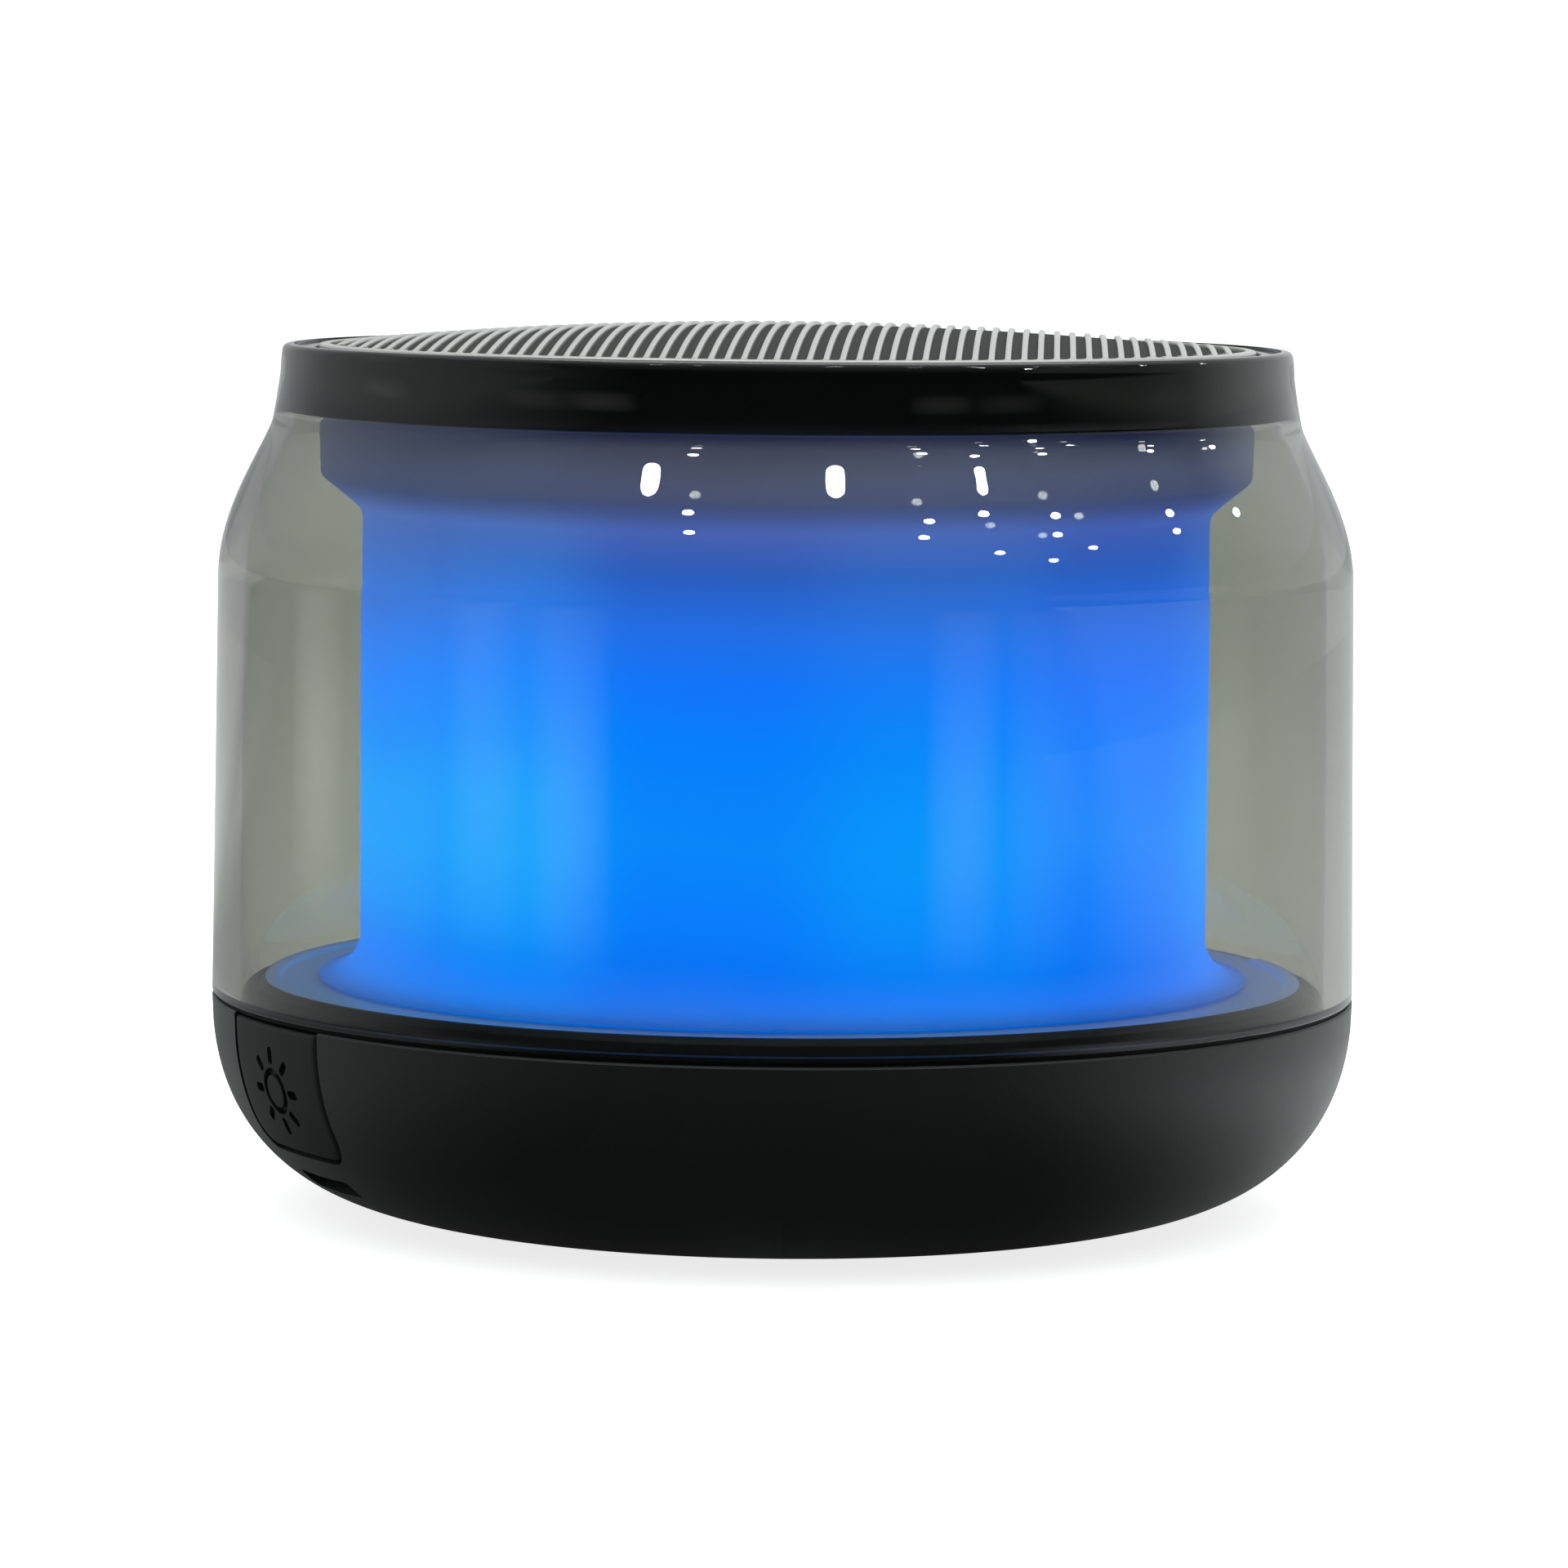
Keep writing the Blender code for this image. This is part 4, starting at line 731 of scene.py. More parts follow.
# ---- pieces -------------------------------------------------------------------------------------
class SPEAKER_OT_clear_shell(bpy.types.Operator):
    """Turn the smoked clear shell: round lip, neck, shoulder, wall and nearly square foot"""
    bl_idname = "speaker.clear_shell"
    bl_label = "Clear Shell"

    def execute(self, context):
        steps = context.scene.speaker_shape.round_steps
        lip_round, foot_round, chamfer = 0.5 * MM, 0.12 * MM, 0.2 * MM
        outer = arc((RIM_RADIUS - 0.55 * MM, RIM_Z - lip_round), lip_round, 90, 20, 6)
        outer += [(RIM_RADIUS, RIM_Z - 0.9 * MM), (RIM_RADIUS + 0.08 * MM, RIM_Z - 2.2 * MM),
                  (NECK_RADIUS - 0.2 * MM, NECK_Z + 1.2 * MM)]
        outer += shoulder(NECK_RADIUS, WALL_TOP_RADIUS, 30, SHOULDER_Z)[1:]
        draft, drop = BODY_RADIUS - WALL_TOP_RADIUS, SEAM_Z - SHOULDER_Z
        outer += [(WALL_TOP_RADIUS + draft * part, SHOULDER_Z + drop * part)
                  for part in (0.2, 0.4, 0.6, 0.8, 0.97)]
        foot = arc((BODY_RADIUS - foot_round, SEAM_Z + foot_round), foot_round, 0, -90, 4)
        foot += [(INNER_FOOT + chamfer, SEAM_Z), (INNER_FOOT, SEAM_Z + chamfer)]
        inner = shoulder(INNER_NECK, INNER_WALL_TOP, 26, SHOULDER_Z + 1.0 * MM)
        inner = inner[::-1] + [(INNER_NECK, NECK_Z + 1.0 * MM), (INNER_NECK, RIM_Z)]
        bm = turned(outer + foot + inner, steps)
        add_piece("shell_wall", bm, finish("Smoked clear"), stands_for=["clear_shell"])
        return {"FINISHED"}


class SPEAKER_OT_collar(bpy.types.Operator):
    """Turn the glossy black collar, bonded to the shell's neck, that holds the grille"""
    bl_idname = "speaker.collar"
    bl_label = "Collar"

    def execute(self, context):
        steps = context.scene.speaker_shape.round_steps
        bond = 0.05 * MM
        outer, top, low = INNER_NECK + bond, COLLAR_HIGH.z, COLLAR_LOW.z
        seat = GRILLE_RADIUS + GAP
        inner = outer - 3.2 * MM
        ledge = top - 1.0 * MM
        outline = filleted([(seat, top, 0.12 * MM), (outer, top, 0.3 * MM), (outer, low, 0.3 * MM),
                            (inner, low, 0.2 * MM), (inner, ledge, 0.2 * MM), (seat, ledge, 0)])
        add_piece("collar_band", turned(outline, steps), finish("Gloss black"),
                  stands_for=["collar_ring"])
        return {"FINISHED"}


class SPEAKER_OT_grille(bpy.types.Operator):
    """Build the domed grille of parallel bars in its ring, and the cloth under the bars"""
    bl_idname = "speaker.grille"
    bl_label = "Grille"

    def add_bar(self, bm, shape, centre_x):
        """One bar with round edges, widened at its ends so that the slots end round."""
        edge_round, into_ring, stations = 0.13 * MM, 0.35 * MM, 26
        end_round = shape.slot_width / 2
        reach = math.sqrt(SLOT_FIELD_RADIUS ** 2 - centre_x ** 2)
        width = shape.bar_pitch - shape.slot_width
        bar = bmesh.new()
        add_block(bar, (-width / 2, -1.0, -shape.bar_depth), (width / 2, 1.0, 0.0))
        long_edges = [edge for edge in bar.edges
                      if abs(edge.verts[0].co.y - edge.verts[1].co.y) > 1.0 and edge.verts[0].co.z > -1e-6]
        bmesh.ops.bevel(bar, geom=long_edges, offset=edge_round, offset_type="OFFSET", segments=2,
                        profile=0.5, affect="EDGES", material=-1)
        for i in range(1, stations):
            bmesh.ops.bisect_plane(bar, geom=list(bar.verts) + list(bar.edges) + list(bar.faces),
                                   plane_co=(0, 2 * i / stations - 1, 0), plane_no=(0, 1, 0))
        for vert in bar.verts:
            station = vert.co.y
            y = math.copysign((reach + into_ring) * (1 - (1 - abs(station)) ** 1.6), station)
            into_round = min(max((abs(y) - (reach - end_round)) / end_round, 0.0), 1.0)
            spread = end_round * (1 - math.sqrt(1 - into_round ** 2))
            x = vert.co.x + math.copysign(spread, vert.co.x)
            vert.co = (centre_x + x, y, vert.co.z + dome_z(centre_x + x, y))
        mesh = bpy.data.meshes.new("bar")
        bar.to_mesh(mesh)
        bar.free()
        bm.from_mesh(mesh)
        bpy.data.meshes.remove(mesh)

    def execute(self, context):
        shape = context.scene.speaker_shape
        outer, inner = GRILLE_RADIUS, SLOT_FIELD_RADIUS
        inner_top, outer_top, thick = dome_z(inner, 0), dome_z(outer, 0), 0.9 * MM
        section = filleted([(inner, inner_top, 0.1 * MM), (outer, outer_top, 0.18 * MM),
                            (outer, outer_top - thick, 0.1 * MM), (inner, inner_top - thick, 0.1 * MM)])
        bm = turned(section, shape.round_steps)
        most = int(inner / shape.bar_pitch)
        for i in range(-most, most):
            self.add_bar(bm, shape, (i + 0.5) * shape.bar_pitch)
        turn_about_z(bm, -shape.bar_turn)
        bmesh.ops.recalc_face_normals(bm, faces=bm.faces)
        add_piece("grille_bars", bm, finish("Grille paint with painted highlight"), stands_for=["top_grille"],
                  sharp=40.0)

        drop = shape.bar_depth - 0.02 * MM
        reach, rings, cloth_thick = outer * 0.974, 24, 0.25 * MM
        radii = [reach * i / rings for i in range(rings + 1)]
        top = [(r, dome_z(r, 0) - drop) for r in radii]
        under = [(r, z - cloth_thick) for r, z in top]
        cloth = turned(top + under[::-1], shape.round_steps // 2, closed=False)
        add_piece("grille_cloth", cloth, finish("Grille cloth"), stands_for=["dust_cloth"])
        return {"FINISHED"}


class SPEAKER_OT_column(bpy.types.Operator):
    """Turn the frosted light column with its wide head and flared foot"""
    bl_idname = "speaker.column"
    bl_label = "Light Column"

    def execute(self, context):
        steps = context.scene.speaker_shape.round_steps
        head, foot, top = COLUMN_HIGH.x, COLUMN_LOW.z, COLUMN_HIGH.z
        head_inner, bore = head - 2.7 * MM, COLUMN_RADIUS - COLUMN_WALL
        cone_low_z, cone_high_z = 50.9 * MM, 53.7 * MM
        inner_cone_low_z, inner_cone_high_z = 51.4 * MM, 54.3 * MM
        flare = head - COLUMN_RADIUS
        wall = arc((head, foot + flare), flare, 270, 180, 14)
        wall += [(COLUMN_RADIUS, foot + (top - foot) * part) for part in (0.2, 0.4, 0.6, 0.75)]
        upper = filleted([(COLUMN_RADIUS, foot + flare, 0), (COLUMN_RADIUS, cone_low_z, 1.6 * MM),
                          (head, cone_high_z, 0.9 * MM), (head, top, 0.3 * MM), (head_inner, top, 0.2 * MM),
                          (head_inner, inner_cone_high_z, 0), (bore, inner_cone_low_z, 0),
                          (bore, foot, 0)], 6)
        bm = turned(wall + upper[1:], steps)
        add_piece("column_diffuser", bm, finish("Frosted column"), stands_for=["light_column"])
        return {"FINISHED"}


class SPEAKER_OT_floor_plate(bpy.types.Operator):
    """Turn the floor plate, notch its raised edge, and hang its four screw posts"""
    bl_idname = "speaker.floor_plate"
    bl_label = "Floor Plate"

    def execute(self, context):
        steps = context.scene.speaker_shape.round_steps
        edge, rim_top = FLOOR_HIGH.x, FLOOR_HIGH.z
        top = COLUMN_LOW.z - GAP
        under, lip_under, skirt = 15.9 * MM, 16.1 * MM, 14.7 * MM
        hole, skirt_outer, skirt_inner = 12.0 * MM, edge - 0.7 * MM, edge - 2.1 * MM
        outline = filleted([
            (hole, under, 0), (hole, top, 0.2 * MM), (edge - 1.6 * MM, top, 0.1 * MM),
            (edge - 1.5 * MM, rim_top, 0.2 * MM), (edge - 0.3 * MM, rim_top, 0.3 * MM),
            (edge, rim_top - 0.5 * MM, 0.3 * MM), (edge, lip_under, 0.1 * MM),
            (skirt_outer, lip_under, 0.1 * MM), (skirt_outer, skirt, 0.2 * MM),
            (skirt_inner, skirt, 0.2 * MM), (skirt_inner, under, 0)])
        bm = turned(outline, steps)
        posts = bmesh.new()
        holes = bmesh.new()
        post_radius, post_foot_z = 2.4 * MM, 3.9 * MM
        screw_radius, screw_end_z = 1.2 * MM, 10.6 * MM
        for post in POSTS:
            add_post(posts, post, post_foot_z, under + 0.4 * MM, post_radius)
            add_post(holes, post, post_foot_z - 1.0 * MM, screw_end_z, screw_radius)
        bm = combined(combined(bm, posts, "UNION"), holes, "DIFFERENCE")
        notch = bmesh.new()
        notch_half, notch_deep, notch_turn = 5.5 * MM, 2.4 * MM, math.radians(114.0)
        add_block(notch, (-notch_half, -edge - 1.0 * MM, top + 0.02 * MM),
                  (notch_half, -edge + notch_deep, rim_top + 1.0 * MM))
        bm = combined(bm, turn_about_z(notch, notch_turn), "DIFFERENCE")
        add_piece("floor_plate", bm, finish("Floor plate"), stands_for=["floor_disc"])
        return {"FINISHED"}


class SPEAKER_OT_base(bpy.types.Operator):
    """Turn the matt base, open its six bays, cut the two strap slots and lay a black ring in the seam as
    painted shade
    """
    bl_idname = "speaker.base"
    bl_label = "Base"

    def execute(self, context):
        steps = context.scene.speaker_shape.round_steps
        top = SEAM_Z - GAP
        recess = PAD_HIGH.x + GAP
        cover, recess_top = recess - 1.4 * MM, 1.2 * MM
        break_edge = 0.15 * MM
        outer = [(bowl_radius(top) - break_edge, top), (bowl_radius(top - break_edge), top - break_edge)]
        outer += bowl_arc(0.0, 6, 90, 44)
        inner = bowl_arc(BOWL_WALL, 90, 20, 20)
        middle = [(recess, BOWL_BOTTOM_Z), (recess, recess_top), (cover, recess_top), (cover, inner[0][1])]
        ledge = [(40.25 * MM, LEDGE_TOP_Z - 1.4 * MM), (LEDGE_RADIUS, LEDGE_TOP_Z - 1.0 * MM),
                 (LEDGE_RADIUS, LEDGE_TOP_Z), (INNER_FOOT, LEDGE_TOP_Z), (INNER_FOOT, top)]
        bm = turned(outer + middle + inner + ledge, steps)
        for turn in BAY_ANGLES:
            bay = bmesh.new()
            near = [bay.verts.new((x, OUTSIDE_Y, z)) for x, z in bay_corners(GAP, SEAM_Z + 1.0 * MM)]
            moved = bmesh.ops.extrude_face_region(bay, geom=[bay.faces.new(near)])["geom"]
            bmesh.ops.translate(bay, vec=(0, BAY_DEPTH, 0),
                                verts=[part for part in moved if isinstance(part, bmesh.types.BMVert)])
            bmesh.ops.recalc_face_normals(bay, faces=bay.faces)
            bm = combined(bm, turn_about_z(bay, turn), "DIFFERENCE")
        for y, z, tilt in STRAP_SLOT_PLACES:
            slot = bmesh.new()
            add_block(slot, -STRAP_SLOT_HALF_SIZE, STRAP_SLOT_HALF_SIZE, 0.5 * MM, 3)
            place = Matrix.Translation((0, y, z)) @ Matrix.Rotation(math.radians(tilt), 4, "X")
            bmesh.ops.transform(slot, matrix=place, verts=slot.verts)
            bm = combined(bm, turn_about_z(slot, BAY_ANGLES[0]), "DIFFERENCE")
        add_piece("base_shell", bm, finish("Matt base"), stands_for=["base_bowl"],
                  sharp=28.0)
        # A black ring laid in the seam: painted shade for the shadowed gap between shell and base and in
        # the bays' upper gaps.
        seam_shade = filleted([(SHADE_RING_INNER, SHADE_RING_LOW_Z, 0.1 * MM), (SHADE_RING_OUTER, SHADE_RING_LOW_Z, 0.1 * MM),
                         (SHADE_RING_OUTER, SHADE_RING_HIGH_Z, 0), (SHADE_RING_INNER, SHADE_RING_HIGH_Z, 0)])
        add_piece("seam_shade_ring", turned(seam_shade, steps), finish("Seam shade black"))
        return {"FINISHED"}


def bay_filler(edge_round):
    """The solid that fills one bay at the front: its face follows the base, its edge is rounded."""
    bm = bmesh.new()
    outline = bay_corners(0.0, KEY_TOP_Z)
    face = bm.faces.new([bm.verts.new((x, edge_round, z)) for x, z in outline])
    moved = bmesh.ops.extrude_face_region(bm, geom=[face], use_keep_orig=True)["geom"]
    front = [part for part in moved if isinstance(part, bmesh.types.BMFace)]
    parked_y = 10.0 * MM
    for vert in face.verts:
        vert.co.y = parked_y
    rounds = 4
    for step in range(1, rounds + 1):
        turns = [math.radians(90.0 * part / rounds) for part in (step - 1, step)]
        inward = edge_round * (math.cos(turns[0]) - math.cos(turns[1]))
        outward = edge_round * (math.sin(turns[1]) - math.sin(turns[0]))
        bmesh.ops.inset_region(bm, faces=front, thickness=inward, use_even_offset=True)
        for vert in {vert for part in front for vert in part.verts}:
            vert.co.y -= outward
    columns, rows = 20, 14
    for axis, low, high, count in ((Vector((1, 0, 0)), -KEY_HALF_WIDTH, KEY_HALF_WIDTH, columns),
                                   (Vector((0, 0, 1)), KEY_BOTTOM_Z, KEY_TOP_Z, rows)):
        for i in range(1, count):
            bmesh.ops.bisect_plane(bm, geom=list(bm.verts) + list(bm.edges) + list(bm.faces),
                                   plane_co=axis * (low + (high - low) * i / count), plane_no=axis)
    for vert in bm.verts:
        if vert.co.y > parked_y / 2:
            vert.co.y = KEY_BACK_Y
        else:
            vert.co.y += bowl_face_y(vert.co.x, vert.co.z)
    bmesh.ops.remove_doubles(bm, verts=bm.verts, dist=1e-6)
    bmesh.ops.recalc_face_normals(bm, faces=bm.faces)
    return bm


# ---- marks sunk into the keys: x and z from the mark's middle, y 0 on the key's face ------------
MARK_TOP_Y = -1.0 * MM


def add_stroke(bm, middle, size, turn, depth):
    """A straight stroke with round ends."""
    place = (Matrix.Translation((middle[0], 0, middle[1])) @ Matrix.Rotation(turn, 4, "Y")
             @ Matrix.Translation((0, (MARK_TOP_Y + depth) / 2, 0))
             @ Matrix.Diagonal((size[0], depth - MARK_TOP_Y, size[1], 1.0)))
    made = bmesh.ops.create_cube(bm, size=1.0, matrix=place)["verts"]
    edges = {edge for vert in made for edge in vert.link_edges}
    upright = [edge for edge in edges if abs(edge.verts[0].co.y - edge.verts[1].co.y) > 0.5 * MM]
    bmesh.ops.bevel(bm, geom=upright, offset=min(size) * 0.45, offset_type="OFFSET", segments=4,
                    profile=0.5, affect="EDGES", material=-1)


def add_ring(bm, radius, width, depth, start=0.0, end=360.0):
    """A ring, or part of one when start and end differ by less than a full turn."""
    full = end - start >= 360.0
    section = [(radius - width / 2, MARK_TOP_Y), (radius + width / 2, MARK_TOP_Y),
               (radius + width / 2, depth), (radius - width / 2, depth)]
    turn = Matrix.Rotation(math.radians(start), 3, "Y")
    verts = [bm.verts.new(turn @ Vector((x, y, 0))) for x, y in section]
    edges = [bm.edges.new((verts[i - 1], verts[i])) for i in range(4)]
    geom = verts + edges
    if not full:
        geom = geom + [bm.faces.new(verts)]
    bmesh.ops.spin(bm, geom=geom, cent=(0, 0, 0), axis=(0, 1, 0), angle=math.radians(end - start), steps=32,
                   use_merge=full)


def add_arrow(bm, middle_x, reach, side, depth):
    """A solid triangle that points to one side."""
    place = (Matrix.Translation((middle_x, (MARK_TOP_Y + depth) / 2, 0))
             @ Matrix.Rotation(math.pi / 2, 4, "X") @ Matrix.Rotation(-math.pi / 2 * side, 4, "Z"))
    bmesh.ops.create_cone(bm, cap_ends=True, segments=3, radius1=reach, radius2=reach,
                          depth=depth - MARK_TOP_Y, matrix=place)


def sun_mark(depth):
    """A ring with eight rays."""
    bm = bmesh.new()
    add_ring(bm, 1.45 * MM, 0.52 * MM, depth)
    rays, middle = 8, 2.6 * MM
    for i in range(rays):
        turn = math.tau * i / rays
        spot = (middle * math.sin(turn), middle * math.cos(turn))
        add_stroke(bm, spot, (0.66 * MM, 1.3 * MM), turn, depth)
    return bm


def skip_mark(depth, side):
    """Two arrows to one side, and a bar at their points."""
    bm = bmesh.new()
    for shift in (-1.05 * MM, 1.05 * MM):
        add_arrow(bm, shift - side * 0.2 * MM, 1.35 * MM, side, depth)
    add_stroke(bm, (side * 2.7 * MM, 0), (0.5 * MM, 2.5 * MM), 0.0, depth)
    return bm


def play_mark(depth):
    """An arrow and two bars."""
    bm = bmesh.new()
    add_arrow(bm, -1.0 * MM, 1.5 * MM, 1, depth)
    for shift in (1.3 * MM, 2.3 * MM):
        add_stroke(bm, (shift, 0), (0.5 * MM, 2.6 * MM), 0.0, depth)
    return bm


def power_mark(depth):
    """A ring open at the top, with a bar in the opening."""
    bm = bmesh.new()
    add_ring(bm, 1.75 * MM, 0.45 * MM, depth, -55.0, 235.0)
    add_stroke(bm, (0, 1.6 * MM), (0.45 * MM, 1.9 * MM), 0.0, depth)
    return bm


class SPEAKER_OT_keys(bpy.types.Operator):
    """Mould the five soft keys, sink their marks and add the stems that reach the switches"""
    bl_idname = "speaker.keys"
    bl_label = "Keys"

    def execute(self, context):
        shape = context.scene.speaker_shape
        depth = shape.mark_depth
        marks = [sun_mark(depth), skip_mark(depth, -1), play_mark(depth), skip_mark(depth, 1),
                 power_mark(depth)]
        into_cap = 0.5 * MM
        for name, turn, mark in zip(KEY_NAMES, BAY_ANGLES, marks):
            stem = bmesh.new()
            add_block(stem, (-STEM_HALF_WIDTH, KEY_BACK_Y - into_cap, STEM_LOW_Z),
                      (STEM_HALF_WIDTH, KEY_STEM_Y, STEM_HIGH_Z), 0.3 * MM)
            cap = combined(bay_filler(shape.key_edge), stem, "UNION")
            for vert in mark.verts:
                vert.co.z += KEY_MARK_Z
                vert.co.y += bowl_face_y(vert.co.x, vert.co.z)
            bmesh.ops.recalc_face_normals(mark, faces=mark.faces)
            cap = turn_about_z(combined(cap, mark, "DIFFERENCE"), turn)
            add_piece(name + "_cap", cap, finish("Soft rubber"), body=name, stands_for=[name])
        return {"FINISHED"}


class SPEAKER_OT_ports(bpy.types.Operator):
    """Mould the port plate, and build the charging socket, its tongue and the card frame"""
    bl_idname = "speaker.ports"
    bl_label = "Ports"

    def add_turned(self, name, bm, material, stands_for, slot):
        """Add a piece that was made at the front, turned round to the port bay."""
        turn_about_z(bm, BAY_ANGLES[-1])
        add_piece(name, bm, material, stands_for=stands_for)

    def add_plate(self, edge_round):
        """The soft plate that fills the bay, with a mouth for the plug and one for the card."""
        mouths = bmesh.new()
        mouth_end_y = -36.0 * MM
        add_stadium(mouths, 4.85 * MM, 10.6 * MM, 14.4 * MM, OUTSIDE_Y, mouth_end_y, 1.85 * MM)
        add_stadium(mouths, 5.9 * MM, 7.2 * MM, 9.4 * MM, OUTSIDE_Y, mouth_end_y, 0.4 * MM)
        plate = combined(bay_filler(edge_round), mouths, "DIFFERENCE")
        self.add_turned("port_cover", plate, finish("Soft rubber"), ["port_plate"], "rubber")

    def add_socket(self):
        """The charging socket's steel shell, and the tongue in it."""
        low_z, high_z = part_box("usb_socket")[0].z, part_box("usb_socket")[1].z
        wall, half_width, corner = 0.35 * MM, 4.5 * MM, 1.5 * MM
        tube = bmesh.new()
        add_stadium(tube, half_width, low_z, high_z, SOCKET_FRONT_Y, -33.0 * MM, corner)
        bore = bmesh.new()
        add_stadium(bore, half_width - wall, low_z + wall, high_z - wall, SOCKET_BORE_Y, -34.3 * MM,
                    1.2 * MM)
        tube = combined(tube, bore, "DIFFERENCE")
        self.add_turned("usb_shell", tube, finish("Bright steel"), ["usb_socket"], "steel")
        middle_z = (low_z + high_z) / 2
        half_wide, half_thick = 3.3 * MM, 0.35 * MM
        tongue = bmesh.new()
        add_block(tongue, (-half_wide, -39.4 * MM, middle_z - half_thick),
                  (half_wide, -34.4 * MM, middle_z + half_thick), 0.15 * MM)
        self.add_turned("usb_tongue", tongue, finish("Chip black"), [], "chip_black")

    def add_card_frame(self):
        """The steel frame that a memory card slides into."""
        low_z, high_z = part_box("card_slot")[0].z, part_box("card_slot")[1].z
        wall, half_width = 0.3 * MM, 5.6 * MM
        card = bmesh.new()
        add_block(card, (-half_width, SOCKET_FRONT_Y, low_z), (half_width, -28.5 * MM, high_z), 0.12 * MM)
        mouth = bmesh.new()
        add_block(mouth, (wall - half_width, SOCKET_BORE_Y, low_z + wall),
                  (half_width - wall, -29.8 * MM, high_z - wall))
        card = combined(card, mouth, "DIFFERENCE")
        self.add_turned("card_frame", card, finish("Bright steel"), ["card_slot"], "steel")

    def execute(self, context):
        self.add_plate(context.scene.speaker_shape.key_edge)
        self.add_socket()
        self.add_card_frame()
        return {"FINISHED"}


class SPEAKER_OT_underside(bpy.types.Operator):
    """Turn the foot pad with its round edge and grooved tread"""
    bl_idname = "speaker.underside"
    bl_label = "Underside"

    def execute(self, context):
        shape = context.scene.speaker_shape
        radius, top, edge_round = PAD_HIGH.x, PAD_HIGH.z, 0.35 * MM
        groove_half, groove_deep = 0.35 * MM, 0.3 * MM
        under = []
        for i in range(3, 10):
            middle = shape.tread_pitch * i
            under += [(middle - groove_half, 0.0), (middle - 0.6 * groove_half, groove_deep),
                      (middle + 0.6 * groove_half, groove_deep), (middle + groove_half, 0.0)]
        edge = arc((radius - edge_round, edge_round), edge_round, -90, 0, 5)
        outline = [(0.0, 0.0)] + under + edge + [(radius, top), (0.0, top)]
        bm = turned(outline, shape.round_steps // 2, closed=False)
        add_piece("foot_tread", bm, finish("Soft rubber"), stands_for=["foot_pad"])
        return {"FINISHED"}


class SPEAKER_OT_inner_parts(bpy.types.Operator):
    """Give the pieces inside and under the speaker that keep their own shape their finishes"""
    bl_idname = "speaker.inner_parts"
    bl_label = "Inner Parts"

    def execute(self, context):
        groups = {
            "Matt base": ["bottom_cover"],
            "Bright steel": ["driver_top_plate", "driver_yoke", "microphone"]
                            + [f"cover_screw_{i}" for i in range(1, 5)],
            "Dark steel": ["driver_basket"],
            "Ferrite": ["driver_magnet"],
            "Cone paper": ["driver_cone", "dust_cap"],
            "Soft rubber": ["cone_surround"],
            "Foam gasket": ["driver_gasket"],
            "Amber cloth": ["coil_spider"],
            "Copper winding": ["voice_coil"],
            "White plastic": ["speaker_chamber"] + [name + "_plunger" for name in KEY_NAMES],
            "Chip black": ["audio_chip", "charger_chip"] + [name + "_switch" for name in KEY_NAMES],
            "Circuit board": ["main_board", "led_board"],
            "Lamp lens": [f"led_{i}" for i in range(1, 7)],
            "Battery foil": ["battery_cell"],
            "Red wire": ["battery_lead", "speaker_lead_plus"],
            "Black wire": ["led_lead", "speaker_lead_minus"],
        }
        for name, nodes in groups.items():
            for node in nodes:
                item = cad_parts[node]
                item.data.materials.clear()
                item.data.materials.append(finish(name))
        return {"FINISHED"}


